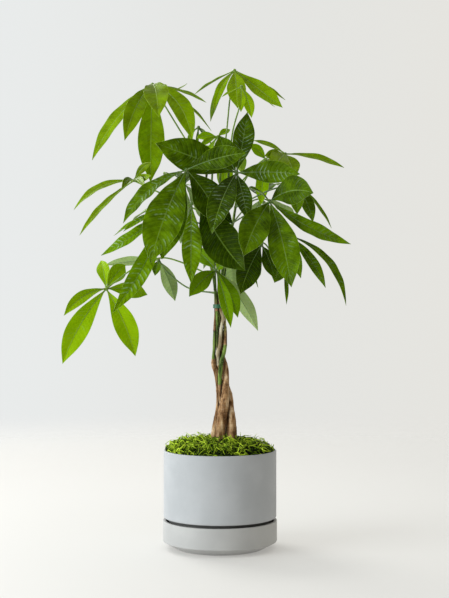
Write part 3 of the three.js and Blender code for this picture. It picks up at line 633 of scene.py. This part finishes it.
skin = bark.mixed(lenticels * 0.4, skin, (0.42, 0.46, 0.22, 1))
cream = bark.mixed(patchy, (0.340, 0.260, 0.140, 1), (0.740, 0.670, 0.490, 1))
greening = bark.between(green + 0.35 * (patches - 0.5), 0.3, 0.62)
bark_colour = bark.mixed(greening, wood, skin)
bark_colour = bark.mixed(bark.between(green, -0.1, -0.8), bark_colour, cream)
bark_colour = bark.mixed(scar * (0.3 + 0.6 * green), bark_colour, (0.050, 0.026, 0.014, 1))
# Painted shade: the bark goes nearly black where the stems press against each other
bark_colour = bark.mixed(crevice * 0.95, bark_colour, (0.008, 0.004, 0.001, 1))
bark.relief(0.6 * bands + 0.5 * fine - 0.5 * cracks + 0.4 * lenticels, 0.0005, 0.8)
bark.wear(Base_Color=bark_colour, Roughness=0.7 - 0.25 * green)


# How near a point on one stem is to the other stems, from 0 to 1, for the painted shade between them
def closeness(own_name, point):
    height = point.z * 1000
    nearest = CREVICE_SHADE_REACH * 9
    for other, plan in STEMS.items():
        if other != own_name and height < plan["route"][-1][1]:
            x, y, radius = stem_at(other, height)
            nearest = min(nearest, math.hypot(point.x * 1000 - x, point.y * 1000 - y) - radius)
    return math.exp(-(max(nearest, 0) / CREVICE_SHADE_REACH) ** 2)


for name, plan in STEMS.items():
    top = plan["route"][-1]
    count = round((top[1] - STEM_BOTTOM) / STEM_STEP)
    heights = [STEM_BOTTOM + (top[1] - STEM_BOTTOM) * step / count for step in range(count + 1)]
    points = []
    radii = []
    for height in heights:
        x, y, radius = stem_at(name, height)
        ring = sum(math.exp(-((height - node) / NODE_HEIGHT) ** 2) for node in plan["nodes"])
        wobble = 1 + 0.05 * noise.noise(Vector((x, y, height)) * 0.11)
        points.append((x / 1000, y / 1000, height / 1000))
        radii.append(radius / 1000 * wobble + NODE_SWELLING * ring)
    for share in (0.35, 0.7, 1):
        points.append((top[0] / 1000, top[2] / 1000, (top[1] + BUD_LENGTH * share) / 1000))
        radii.append((top[3] * (1 - share) ** 0.7 + 0.3) / 1000)
    stem = bars(name + "_bark", [(points, radii)], resolution=5)
    for vertex in stem.data.vertices:
        height = vertex.co.z * 1000
        x, y, radius = stem_at(name, height)
        outward = Vector((vertex.co.x - x / 1000, vertex.co.y - y / 1000, 0))
        lump = noise.noise(Vector((vertex.co.x * 120, vertex.co.y * 120, vertex.co.z * 45)))
        vertex.co += outward * LUMPINESS * lump
    vertex_heights = [vertex.co.z * 1000 for vertex in stem.data.vertices]
    set_attribute(stem.data, "green", np.interp(vertex_heights, *zip(*plan["greens"])))
    set_attribute(stem.data, "scar", [
        min(sum(math.exp(-((height - node) / SCAR_HEIGHT) ** 2) for node in plan["nodes"]), 1)
        for height in vertex_heights
    ])
    set_attribute(stem.data, "crevice", [closeness(name, vertex.co) for vertex in stem.data.vertices])
    bpy.ops.object.shade_smooth()
    stem.data.materials.clear()
    stem.data.materials.append(bark.material)
    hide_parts(name)
    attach(stem, "root")


# The tie
# A band of soft green plastic, wound once round the five stems at the top of the braid.
# It presses on the outermost stem, and its outer face is drawn in a little at the middle.
TIE_HEIGHT = 0.381
TIE_CENTRE_X = -0.0027
TIE_THICKNESS = 0.0014
TIE_WIDTH = 0.0062

x, y, radius = stem_at("stem_left_front", TIE_HEIGHT * 1000)
tie_inner = math.hypot(x / 1000 - TIE_CENTRE_X, y / 1000) + radius / 1000 + 0.0006
tie = turned_piece("tie_band", [
    (tie_inner, TIE_HEIGHT - TIE_WIDTH / 2),
    (tie_inner + TIE_THICKNESS, TIE_HEIGHT - TIE_WIDTH / 2),
    (tie_inner + TIE_THICKNESS * 0.8, TIE_HEIGHT),
    (tie_inner + TIE_THICKNESS, TIE_HEIGHT + TIE_WIDTH / 2),
    (tie_inner, TIE_HEIGHT + TIE_WIDTH / 2),
], closes_on_itself=True, steps=64, centre=(TIE_CENTRE_X, 0))
soften_edges(tie, width=0.0004, segments=3, sharp_angle=50)
tie_finish = Finish("tie plastic", 0.4)
stretch = tie_finish.grain(0.002, 3, (1, 1, 5))
tie_colour = tie_finish.mixed(stretch, (0.006, 0.050, 0.018, 1), (0.035, 0.190, 0.085, 1))
tie_finish.relief(stretch, 0.0004, 0.6)
tie.data.materials.append(tie_finish.wear(Base_Color=tie_colour, Roughness=0.3 + 0.25 * stretch))
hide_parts("tie")
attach(tie, "root")


# The leaves
# Each is a smooth green stalk with a knuckle at its end, and drooping pointed leaflets round that.
# A leaflet is a thin glossy blade, folded along its pale midrib, and quilted between its side veins.
# Each leaf grows from one of the five stems, and turns its blades to the light.
BLADE_THICKNESS = 0.0005
BLADE_FOLD = 0.32
BLADE_LIFT = 0.00065
VEIN_SPACING = 13
MIDRIB_RADIUS = 0.0011
STALK_RADIUS = 0.00125
STALK_FOOT_SWELLING = 0.0007
STALK_END_SWELLING = 0.0006
KNUCKLE_RADIUS = 0.0027
BLADE_COLUMNS = 8
BLADE_ROWS = 84
UPWARDS = np.array((0.0, 0.0, 1.0))
EYE_POINT = np.array(EYE)
OTHER_GLOSS_AND_GLINT = 0.12
CROWN_MIDDLE = (-10, 530)
CROWN_SHADE_SPREAD = 60

# The list runs from the top of the crown down. Its lengths are in millimetres, and every point is
# across, up and back as seen from the front, on the plane through the pot's axis.
# age is 0 on a young yellow green leaf and 1 on an old dark one, and foot is where it leaves its stem.
# shade, where given, stands for its age in how dark a leaf is: partly its own tone, partly painted shade.
# gloss, from 0 to 1, is how glossy the leaf is and how strong its painted highlight streaks are.
# A blade adds its width, its arch and how far its upper side is turned to the front, and some
# blades end with how much painted shade darkens them beyond the rest of their leaf.
LEAVES = [
  dict(
    name="leaf_top_left", age=0.2, shade=0.55, stem="stem_left_front", foot=588,
    stalk=[(-51, 639, -8), (-84, 693, -10)],
    hub=(-107, 732, -10),
    blades=[
      (-202, 612, 10, 24, 0.07, 0.6),
      (-151, 643, -95, 29, 0.08, 0.8),
      (-110, 577, 40, 43, 0.05, 1),
      (-97, 680, -112, 38, 0.12, 0.95, 0.18),
      (-44, 643, -60, 31, 0.14, 0.7),
      (-14, 658, 70, 16, 0.07, 0.4),
      (-22, 703, 85, 15, 0.03, 0.1),
      (-52, 733, 110, 5, -0.08, 0),
    ],
  ),
  dict(
    name="leaf_top", age=0.2, shade=0.4, stem="stem_middle", foot=600,
    stalk=[(9, 645, -5), (16, 713, 14)],
    hub=(23, 754, 20),
    blades=[
      (-40, 716, 80, 13, 0.02, 0.2),
      (-9, 692, -10, 14, 0.09, 0.6),
      (-15, 673, 60, 13, 0.1, -0.4),
      (28, 694, -25, 30, 0.05, 1),
      (103, 707, 30, 20, 0.01, 0.3),
      (99, 695, -15, 27, 0, 0.6),
      (86, 696, 75, 18, -0.02, 0.2),
    ],
  ),
  dict(
    name="leaf_top_small", age=0.15, stem="stem_right_front", foot=598,
    stalk=[(20, 657, -40), (33, 705, -62)],
    hub=(34, 728, -68),
    blades=[
      (3, 712, -80, 6, 0.02, 0.3),
      (33, 688, -100, 13, 0.06, 0.8),
      (41, 697, -55, 14, 0.06, 0.8),
      (50, 679, -80, 16, 0.06, 1),
    ],
  ),
  dict(
    name="leaf_young", age=0, stem="stem_middle", foot=628,
    hub=(-4, 649, 22),
    blades=[
      (-37, 647, 18, 13, 0.08, 0.8),
      (-32, 633, 0, 9, 0.06, 0.8),
      (-22, 615, 34, 8, 0.05, 0.8),
      (16, 660, 40, 11, 0.05, 0.6),
    ],
  ),
  dict(
    name="leaf_bud", age=0.3, stem="stem_left_back", foot=596,
    stalk=[(-9, 628, 48), (-24, 650, 56)],
    hub=(-34, 664, 60),
    blades=[
      (-50, 640, 52, 8, 0.12, 0.4),
      (-37, 632, 30, 5, 0.02, 0.6),
      (-21, 646, 92, 6, 0.1, 0.2),
    ],
  ),
  dict(
    name="leaf_far_left", age=0.24, shade=0.75, stem="stem_left_back", foot=525,
    stalk=[(-92, 559, 26), (-112, 568, 28)],
    hub=(-136, 580, 30),
    blades=[
      (-231, 533, 40, 17, 0.13, 0.5),
      (-222, 493, -10, 13, 0.05, 0.4),
      (-109, 609, -40, 12, 0.06, 0.9),
      (-109, 588, -44, 12, 0, 0.9),
      (-118, 567, -45, 10, 0.1, 0.8),
      (-156, 567, -38, 10, 0.1, 0.6),
    ],
  ),
  dict(
    name="leaf_front_left", age=0.9, shade=0.6, gloss=0.7,
    stem="stem_left_front", foot=552,
    stalk=[(-40, 578, -62)],
    hub=(-53, 597, -100),
    blades=[
      (-153, 512, -120, 26, 0.1, 0.5),
      (-110, 449, -150, 57, 0.04, 1),
      (-92, 455, -105, 50, 0.03, 0.9),
      (43, 624, -140, 34, 0.04, 0.9, 0.25),
      (3, 510, -85, 50, 0.05, 0.9),
    ],
  ),
  dict(
    name="leaf_front_middle", age=0.78, gloss=0.7, stem="stem_right_front", foot=556,
    hub=(26, 592, -60),
    blades=[
      (127, 590, -110, 34, 0.02, 0.9),
      (43, 688, -40, 33, 0.02, 1),
      (-1, 651, -28, 34, 0.03, 1),
      (-102, 639, -104, 50, 0, 0.9),
      (-13, 495, -165, 39, 0.06, 0.9),
      (44, 517, -115, 26, 0.04, 0.9),
    ],
  ),
  dict(
    name="leaf_mid_left", age=0.8, shade=0.2, gloss=1,
    stem="stem_left_front", foot=508,
    hub=(-84, 533, -40),
    blades=[
      (-168, 492, -52, 15, 0.05, 0.4),
      (-140, 513, 8, 17, 0.12, 0.3),
      (-153, 499, -78, 10, 0.06, 0.5),
      (-188, 461, -30, 20, -0.02, 0.6),
      (-170, 371, -90, 29, -0.05, 0.9),
    ],
  ),
  dict(
    name="leaf_hanging", age=0.75, shade=0.45, gloss=1,
    stem="stem_left_front", foot=484,
    stalk=[(-48, 520, -80)],
    hub=(-45, 543, -125),
    blades=[
      (-46, 417, -155, 28, 0.05, 0.9),
      (-42, 427, -115, 26, 0.04, 0.9),
    ],
  ),
  dict(
    name="leaf_low_left", age=0, shade=-0.2, stem="stem_left_front", foot=428,
    stalk=[(-65, 452, -6), (-97, 457, -10), (-135, 442, -15)],
    hub=(-180, 409, -20),
    blades=[
      (-188, 453, 30, 21, 0.05, 1),
      (-150, 446, 20, 26, 0.05, 1),
      (-115, 399, 30, 25, 0.05, 1),
      (-134, 302, -30, 35, 0.04, 1),
      (-249, 290, -40, 35, 0.05, 1),
      (-247, 366, -75, 19, 0.1, 0.7),
    ],
  ),
  dict(
    name="leaf_low_left_back", age=0.5, stem="stem_left_back", foot=402,
    stalk=[(-48, 409, 22), (-81, 433, 32)],
    hub=(-97, 454, 38),
    blades=[
      (-71, 389, 80, 24, 0.06, -0.9),
      (-103, 429, 12, 14, 0.06, 0.6),
      (-182, 446, 78, 17, 0.02, -0.7),
    ],
  ),
  dict(
    name="leaf_low_middle", age=0.4, shade=0.05, stem="stem_right_front", foot=452,
    hub=(-6, 438, -60),
    blades=[
      (-49, 396, -112, 27, 0.06, 1),
      (17, 347, -95, 19, 0.04, 1),
      (28, 363, -60, 24, 0.05, 0.8),
      (60, 342, -30, 25, 0.05, -0.8),
      (-40, 470, -28, 24, 0.05, 0.9),
      (5, 450, -75, 14, 0.05, 0.8),
    ],
  ),
  dict(
    name="leaf_front_right", age=0.8, shade=0.6, gloss=0.25,
    stem="stem_right_front", foot=505,
    stalk=[(48, 530, -68)],
    hub=(79, 547, -100),
    blades=[
      (45, 569, -135, 16, 0.05, 0.4),
      (148, 560, -150, 44, 0.12, 0.8, 0.35),
      (207, 479, -110, 23, -0.05, 0.7),
      (113, 411, -145, 45, 0.04, 1),
      (37, 460, -160, 45, 0.05, 1),
    ],
  ),
  dict(
    name="leaf_right_back", age=0.7, shade=0.55, gloss=0.3,
    stem="stem_right_back", foot=540,
    stalk=[(80, 565, -5)],
    hub=(122, 573, -20),
    blades=[
      (122, 526, -62, 22, 0.06, 0.9),
      (147, 514, -48, 20, 0.06, 0.9),
      (176, 504, 5, 10, 0.06, 0.5),
      (142, 560, 50, 18, 0.04, 0.3),
    ],
  ),
  dict(
    name="leaf_low_right", age=0.7, shade=0.5, gloss=0.4,
    stem="stem_right_back", foot=488,
    stalk=[(70, 502, 0)],
    hub=(108, 494, -10),
    blades=[
      (167, 410, -30, 17, 0.06, 0.8),
      (199, 382, -20, 14, 0.155, 0.6),
      (128, 425, -60, 18, 0.02, 0.9),
    ],
  ),
  dict(
    name="leaf_low_right_back", age=0.6, stem="stem_right_back", foot=462,
    stalk=[(63, 482, 36), (82, 466, 40)],
    hub=(101, 451, 42),
    blades=[
      (86, 418, 8, 26, 0.06, 0.9),
      (105, 384, 36, 7, 0.04, 0.5),
      (118, 425, 85, 14, 0.04, 0.3),
    ],
  ),
  dict(
    name="leaf_inner_right", age=0.85, shade=1.1, stem="stem_right_front", foot=474,
    hub=(66, 478, -40),
    blades=[
      (32, 400, -85, 38, 0.05, 1),
      (86, 425, -62, 24, 0.06, 1),
      (40, 440, -5, 20, 0.06, 0.8),
    ],
  ),
  dict(
    name="leaf_inner_left", age=0.85, shade=1.1, stem="stem_right_front", foot=492,
    hub=(-32, 548, -60),
    blades=[
      (40, 437, -106, 58, -0.05, 1),
      (0, 450, -50, 20, 0.04, 1),
      (20, 512, -70, 26, 0.04, 1),
    ],
  ),
  dict(
    name="leaf_upper_right", age=0.24, shade=0.6, stem="stem_right_back", foot=574,
    stalk=[(68, 612, 36)],
    hub=(103, 622, 30),
    blades=[
      (196, 600, 40, 18, 0.05, 0.4),
      (70, 619, -25, 20, -0.02, 0.8),
      (85, 593, -35, 34, 0.06, 1),
      (118, 585, 90, 28, 0.06, 0.8),
      (53, 643, 60, 10, 0.05, 0.5),
    ],
  ),
  dict(
    name="leaf_sunlit", age=0, stem="stem_right_back", foot=560,
    stalk=[(50, 596, 86)],
    hub=(73, 612, 110),
    blades=[
      (65, 541, 92, 22, 0.05, 1),
      (46, 637, 92, 17, 0.06, 0.8),
      (110, 598, 165, 24, 0.08, 0.4),
      (57, 580, 162, 24, 0.08, 0.4),
    ],
  ),
  dict(
    name="leaf_back_right", age=0.8, stem="stem_right_back", foot=515,
    stalk=[(48, 545, 90)],
    hub=(66, 552, 140),
    blades=[
      (118, 512, 185, 34, 0.08, 0),
      (90, 470, 205, 36, 0.08, 0),
      (42, 478, 215, 34, 0.08, 0),
      (30, 560, 235, 34, 0.1, 0),
      (92, 572, 225, 32, 0.1, 0),
    ],
  ),
  dict(
    name="leaf_back_left", age=0.85, stem="stem_left_back", foot=545,
    stalk=[(-40, 570, 90)],
    hub=(-56, 574, 140),
    blades=[
      (-94, 512, 165, 34, 0.08, 0),
      (-62, 480, 195, 36, 0.08, 0),
      (-18, 505, 205, 34, 0.08, 0),
      (-20, 590, 225, 34, 0.1, 0),
      (-86, 585, 225, 32, 0.1, 0),
    ],
  ),
  dict(
    name="leaf_back_top", age=0.2, stem="stem_middle", foot=590,
    hub=(10, 630, 90),
    blades=[
      (-50, 616, 140, 28, 0.1, 0),
      (7, 560, 122, 27, 0.04, 0.9),
      (36, 590, 175, 30, 0.08, 0),
    ],
  ),
  dict(
    name="leaf_back_low", age=0.8, stem="stem_left_back", foot=448,
    stalk=[(6, 478, 66)],
    hub=(22, 486, 110),
    blades=[
      (-26, 440, 150, 30, 0.08, 0),
      (20, 405, 165, 32, 0.08, 0),
      (64, 430, 165, 28, 0.08, 0),
      (60, 410, 112, 9, 0.04, 0.5),
      (30, 470, 205, 30, 0.1, 0),
    ],
  ),
]


# The real place of a point of the list, which stands behind or before the plane that it is seen on
def seen_at(across, up, back):
    spread = 1 + back / 1000 / EYE_DISTANCE
    x = EYE.x + (across / 1000 - EYE.x) * spread
    z = EYE.z + (up / 1000 - EYE.z) * spread
    return np.array((x, back / 1000, z))


def unit(vector):
    return vector / np.linalg.norm(vector, axis=-1, keepdims=True)


# The part of a direction that is square to another one
def square_to(direction, along):
    return unit(direction - along * np.sum(direction * along, axis=-1, keepdims=True))


# Where a leaflet's rib runs, and which way its blade lies at each share of its length
def rib_frame(hub, blade, share, twist):
    across, up, back, width, arch, facing = blade[:6]
    tip = seen_at(across, up, back)
    chord = tip - hub
    length = np.linalg.norm(chord)
    along = chord / length
    natural = square_to(unit(np.array((chord[0], chord[1], 0))) + UPWARDS, along)
    front = square_to(unit(EYE_POINT - hub), along)
    face = natural * (1 - abs(facing)) + front * facing
    root = hub + along * KNUCKLE_RADIUS * 0.6
    control = hub + chord / 2 + natural * arch * length * 2
    t = share[:, None]
    rib = (1 - t) ** 2 * root + 2 * t * (1 - t) * control + t ** 2 * tip
    tangent = unit((1 - t) * (control - root) + t * (tip - control))
    upper = square_to(face, tangent)
    side = np.cross(tangent, upper)
    turn = twist * t * t
    turned_side = side * np.cos(turn) + upper * np.sin(turn)
    turned_upper = upper * np.cos(turn) - side * np.sin(turn)
    return rib, turned_side, turned_upper, length


# The blade of one leaflet, from a flat grid whose X runs across it and whose Y runs along it
# The blades that end in the middle of the crown get the most painted shade
def shaped_blade(template, hub, blade, plan):
    half_width = blade[3] / 2000
    age = plan["age"]
    start_fresh()
    piece = template.copy()
    piece.data = template.data.copy()
    bpy.context.scene.collection.objects.link(piece)
    flat = points_of(piece.data)
    across = np.sign(flat[:, 0]) * np.abs(flat[:, 0]) ** 1.25
    share = (flat[:, 1] + 1) / 2
    out = np.abs(across)
    rib, side, upper, length = rib_frame(hub, blade, share, dice.gauss(0, 0.16))
    pointed = 1 - 0.22 * np.clip((share - 0.82) / 0.18, 0, 1) ** 1.5
    outline = np.sin(math.pi * share ** 1.25) ** 0.95 * pointed
    least = 0.0012 * (1 - share) ** 0.5 + 0.00012
    half = np.maximum(half_width * outline, least)
    pairs = round(7 + length * 1000 / VEIN_SPACING)
    veins = pairs * (share - 0.52 * half_width / length * out ** 1.2 * (1 + 0.5 * share))
    bulge = np.abs(np.sin(math.pi * veins)) ** 0.7 - 0.5
    room = np.clip(half / 0.008, 0, 1)
    quilt = (0.00014 + 0.00040 * age) * bulge * (1 - out ** 6) * np.clip(out / 0.14, 0, 1) * room
    groove = -0.0003 * np.exp(-(across * half / 0.0009) ** 2) * room
    ripple = np.zeros(len(flat))
    for hand in (-1, 1):
        phase = dice.uniform(0, math.tau)
        wave = np.sin(phase + math.tau * share * length / dice.uniform(0.030, 0.046))
        ripple += np.where(across * hand > 0, wave, 0)
    ripple *= (0.06 + 0.06 * age) * half * out ** 2.4
    fold = half * BLADE_FOLD * (np.sqrt(across ** 2 + 0.01) - 0.1) * 1.08
    curl = -half * (0.10 + 0.16 * age) * np.clip(out - 0.4, 0, 1) ** 2
    rise = fold + curl + quilt + groove + ripple + BLADE_LIFT
    placed = rib + side * (across * half)[:, None] + upper * rise[:, None]
    piece.data.vertices.foreach_set("co", placed.astype(np.float32).ravel())
    corners = np.empty(len(piece.data.loops), np.int32)
    piece.data.loops.foreach_get("vertex_index", corners)
    pattern = np.stack((0.5 + across / 2, veins / 40), axis=1)[corners]
    piece.data.uv_layers[0].data.foreach_set("uv", pattern.astype(np.float32).ravel())
    # Painted shade: blades deep in the crown, shaded leaves and some single blades are darkened
    crown_shade = math.exp(-(math.dist(blade[:2], CROWN_MIDDLE) / CROWN_SHADE_SPREAD) ** 2)
    darkening_and_shade = plan.get("shade", age) + sum(blade[6:]) + 0.45 * crown_shade
    set_attribute(piece.data, "tone", 0.45 - darkening_and_shade + dice.uniform(-0.15, 0.15) + 0.3 * share)
    set_attribute(piece.data, "gloss", np.full(len(flat), plan.get("gloss", OTHER_GLOSS_AND_GLINT)))
    return piece


# The midrib: a pale bar that stands out below the blade and tapers to the tip
def midrib(hub, blade):
    share = np.linspace(0, 0.97, 18)
    rib, side, upper, length = rib_frame(hub, blade, share, 0)
    points = rib + upper * 0.0002
    radii = MIDRIB_RADIUS * (1 - share) ** 0.8 * (0.62 + 0.38 * np.exp(-share * 18)) + 0.00018
    return points.tolist(), radii.tolist()


# A smooth line through points, as a stalk grows: it leaves each point along its neighbours' chord
def grown_line(points, count):
    points = [2 * points[0] - points[1], *points, 2 * points[-1] - points[-2]]
    line = []
    spans = len(points) - 3
    for step in range(count + 1):
        whole = min(step / count * spans, spans - 0.000001)
        index = int(whole)
        t = whole - index
        before, low, high, after = points[index:index + 4]
        leave = (high - before) / 2
        arrive = (after - low) / 2
        bend = (2 * t ** 3 - 3 * t ** 2) * (low - high)
        line.append(low + bend + (t ** 3 - 2 * t ** 2 + t) * leave + (t ** 3 - t ** 2) * arrive)
    return np.array(line)


# The stalk: a round bar, swollen where it leaves the stem and again below its knuckle
def stalk(foot, plan, hub):
    line = grown_line([foot, *(seen_at(*point) for point in plan.get("stalk", ())), hub], 36)
    along = np.concatenate(([0], np.cumsum(np.linalg.norm(np.diff(line, axis=0), axis=1))))
    from_end = along[-1] - along
    radii = STALK_RADIUS + STALK_FOOT_SWELLING * np.exp(-(along / 0.007) ** 2)
    radii += STALK_END_SWELLING * np.exp(-(from_end / 0.006) ** 2)
    return line.tolist(), radii.tolist()


# Leaf skin: pale side veins, cloudy green between them, a fine net of veinlets and a waxy gloss,
# with painted highlight streaks between the veins where the leaf is glossy
def leaf_finish(name, deep, bright, vein, roughness, subsurface, vein_share):
    finish = Finish(name, roughness, subsurface, specular=0.03)
    own_tone_and_shading = finish.attribute("tone")
    gloss = finish.attribute("gloss")
    map_of_blade = finish.node("ShaderNodeTexCoord", {}, {}, "UV")
    across = finish.part_of(map_of_blade, 0)
    along = finish.part_of(map_of_blade, 1)
    out = finish.node("ShaderNodeMath", {"operation": "ABSOLUTE"}, {0: 2 * across - 1})
    waves = finish.node("ShaderNodeMath", {"operation": "COSINE"}, {0: along * (40 * math.tau)})
    veins = finish.between(waves, 0.80, 0.98) * finish.between(out, 0.98, 0.75)
    rib = finish.between(out, 0.055, 0.02)
    clouds = finish.grain(0.016, 4)
    patches = finish.between(finish.grain(0.022, 3), 0.48, 0.62)
    ridges = finish.between(waves + 2.4 * (finish.grain(0.0035, 4) - 0.5), -0.25, -1.2)
    coat_and_painted_glint = gloss * patches * ridges * finish.between(out, 0.95, 0.7)
    grain = finish.grain(0.0009, 3)
    inputs = {"Vector": finish.place(), "Scale": 620}
    cells = finish.node("ShaderNodeTexVoronoi", {"feature": "DISTANCE_TO_EDGE"}, inputs)
    net = finish.between(cells, 0.10, 0.02)
    mottle = finish.between(0.7 * clouds + 0.5 * own_tone_and_shading + 0.12 * (grain - 0.5), 0.05, 0.72)
    colour = finish.mixed(mottle, deep, bright)
    colour = finish.mixed(net * 0.16, colour, vein)
    colour = finish.mixed(veins * vein_share, colour, vein)
    # Painted highlight: pale streaks between the side veins stand for glints of the window; they also raise
    # the coat
    colour = finish.mixed(coat_and_painted_glint * 0.48, colour, (0.360, 0.560, 0.270, 1))
    colour = finish.mixed(finish.between(out, 0.955, 1.0) * 0.5, colour, vein)
    colour = finish.mixed(rib * 0.7, colour, vein)
    finish.relief(0.05 * grain - 0.06 * net - (0.2 + 0.9 * gloss) * waves, 0.00024, 0.9)
    return finish.wear(
        Base_Color=colour, Roughness=roughness + 0.22 * (clouds - 0.5),
        Subsurface_Radius=(0.7, 1, 0.03), Subsurface_Scale=0.0016,
        Coat_Weight=coat_and_painted_glint, Coat_Roughness=0.26, Coat_IOR=1.45,
    )


old_top = leaf_finish(
    "old leaf top", (0.016, 0.036, 0.000, 1), (0.150, 0.280, 0.000, 1), (0.200, 0.340, 0.010, 1),
    roughness=0.36, subsurface=0.12, vein_share=0.20,
)
old_back = leaf_finish(
    "old leaf back", (0.200, 0.290, 0.090, 1), (0.300, 0.400, 0.150, 1), (0.380, 0.470, 0.220, 1),
    roughness=0.60, subsurface=0.12, vein_share=0.35,
)
young_top = leaf_finish(
    "young leaf top", (0.095, 0.145, 0.001, 1), (0.250, 0.420, 0.000, 1), (0.340, 0.500, 0.012, 1),
    roughness=0.42, subsurface=0.15, vein_share=0.14,
)
young_back = leaf_finish(
    "young leaf back", (0.170, 0.280, 0.015, 1), (0.250, 0.370, 0.030, 1), (0.330, 0.440, 0.080, 1),
    roughness=0.55, subsurface=0.20, vein_share=0.25,
)


# Stalk skin: smooth and satin, with faint streaks along it
def stalk_skin(name, deep, bright):
    finish = Finish(name, 0.4, subsurface=0.15)
    streaks = finish.grain(0.006, 4, (1, 1, 0.3))
    fine = finish.grain(0.0008, 3)
    colour = finish.mixed(finish.between(streaks + 0.2 * (fine - 0.5), 0.3, 0.7), deep, bright)
    finish.relief(fine, 0.0002, 0.5)
    return finish.wear(
        Base_Color=colour, Roughness=0.34 + 0.2 * streaks, Subsurface_Scale=0.001,
    )


old_stalk = stalk_skin("old stalk", (0.060, 0.125, 0.020, 1), (0.150, 0.240, 0.050, 1))
young_stalk = stalk_skin("young stalk", (0.130, 0.240, 0.018, 1), (0.240, 0.370, 0.045, 1))


def give_materials(pieces, materials):
    for piece in pieces:
        for material in materials:
            piece.data.materials.append(material)


# Several pieces become one, which keeps the first one's name
def joined(pieces):
    start_fresh()
    for piece in pieces:
        piece.select_set(True)
    bpy.context.view_layer.objects.active = pieces[0]
    bpy.ops.object.join()
    return bpy.context.object


start_fresh()
bpy.ops.mesh.primitive_grid_add(x_subdivisions=BLADE_COLUMNS, y_subdivisions=BLADE_ROWS, size=2)
flat_blade = bpy.context.object

for plan in LEAVES:
    young = plan["age"] < 0.25
    hub = seen_at(*plan["hub"])
    x, y, radius = stem_at(plan["stem"], plan["foot"])
    foot = np.array((x, y, plan["foot"])) / 1000
    finishes = (young_top, young_back, young_stalk) if young else (old_top, old_back, old_stalk)
    blades = [shaped_blade(flat_blade, hub, blade, plan) for blade in plan["blades"]]
    give_materials(blades, finishes)
    leaf = joined(blades)
    leaf.name = plan["name"] + "_blades"
    body = leaf.modifiers.new("blade thickness", "SOLIDIFY")
    body.thickness = BLADE_THICKNESS
    body.offset = -1
    body.material_offset = 1
    body.material_offset_rim = 1
    bpy.ops.object.modifier_apply(modifier=body.name)
    runs = [stalk(foot, plan, hub), *(midrib(hub, blade) for blade in plan["blades"])]
    green_parts = bars(plan["name"] + "_stalk", runs, resolution=2)
    green_parts.data.materials.clear()
    start_fresh()
    bpy.ops.mesh.primitive_ico_sphere_add(subdivisions=3, radius=KNUCKLE_RADIUS, location=hub)
    knuckle = bpy.context.object
    bpy.ops.object.transform_apply(location=True, rotation=True, scale=True)
    for vertex in knuckle.data.vertices:
        away = vertex.co - Vector(hub)
        vertex.co += away * 0.22 * noise.noise(away * 500 + Vector(hub))
    give_materials((green_parts, knuckle), finishes)
    for piece in (green_parts, knuckle):
        for face in piece.data.polygons:
            face.material_index = 2
        for name in ("tone", "gloss"):
            set_attribute(piece.data, name, np.zeros(len(piece.data.vertices)))
    leaf = joined([leaf, green_parts, knuckle])
    bpy.ops.object.shade_smooth_by_angle(angle=math.radians(55))
    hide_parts(plan["name"])
    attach(leaf, "root")
bpy.data.objects.remove(flat_blade)


# The setting
# A pale floor that fades into the pale surroundings, one big soft light at the left like a window,
# a second behind on the left that shines through the young leaves, and dimmer light from the rest.
FLOOR_RADIUS = 3.2
FLOOR_THICKNESS = 0.02

bpy.context.scene.world = bpy.data.worlds.new("pale room")
bpy.context.scene.world.use_nodes = True
room = Wiring(bpy.context.scene.world.node_tree)
surround = room.tree.nodes["Background"]
direction = room.node("ShaderNodeTexCoord", {}, {}, "Generated")
rightwards = room.part_of(direction, 0)
backwards = room.part_of(direction, 1)
upwards = room.part_of(direction, 2)
seen = room.node("ShaderNodeLightPath", {}, {}, "Is Camera Ray")
glow = 0.27 + 0.37 * room.between(rightwards, 0.4, -0.9) + 0.40 * room.between(backwards, -0.1, 1)
glow = glow + 0.48 * room.between(upwards, 0.2, 1)
tint = room.mixed(room.between(rightwards, -0.6, 0.8), (0.93, 0.975, 1, 1), (1, 0.95, 0.85, 1))
room.feed(surround.inputs["Color"], tint)
wall = 0.81 + 0.05 * room.between(rightwards, 0.05, -0.17)
room.feed(surround.inputs["Strength"], glow + seen * (wall - glow))

floor = turned_piece("floor", [
    (POLE, -FLOOR_THICKNESS),
    (FLOOR_RADIUS, -FLOOR_THICKNESS),
    (FLOOR_RADIUS, 0),
    (POLE, 0),
], steps=128)
floor_finish = Finish("pale floor", 0.65)
spot = floor_finish.node("ShaderNodeTexCoord", {}, {}, "Object")
distance = floor_finish.length_of(spot)
clouds = floor_finish.grain(0.4, 2)
floor_tone = floor_finish.mixed(clouds, (0.500, 0.493, 0.475, 1), (0.510, 0.503, 0.485, 1))
floor.data.materials.append(floor_finish.wear(
    Base_Color=floor_tone, Alpha=floor_finish.between(distance, 2.6, 0.5),
    Emission_Color=(1, 0.985, 0.95, 1), Emission_Strength=0.25,
))


# A square soft light that is turned to a target
def soft_light(name, position, target, size, power, colour):
    aim = (Vector(target) - Vector(position)).to_track_quat("-Z", "Y")
    bpy.ops.object.light_add(type="AREA", location=position, rotation=aim.to_euler())
    light = bpy.context.object
    light.name = name
    light.data.shape = "RECTANGLE"
    light.data.size = size
    light.data.size_y = size
    light.data.energy = power
    light.data.color = colour


soft_light("window", (-2.1, -1.1, 0.8), (0, 0, 0.35), size=1.6, power=44, colour=(0.92, 0.97, 1))
soft_light("back_window", (-1.5, 1.9, 1.7), (0, 0, 0.5), size=1.4, power=38, colour=(1, 0.99, 0.96))
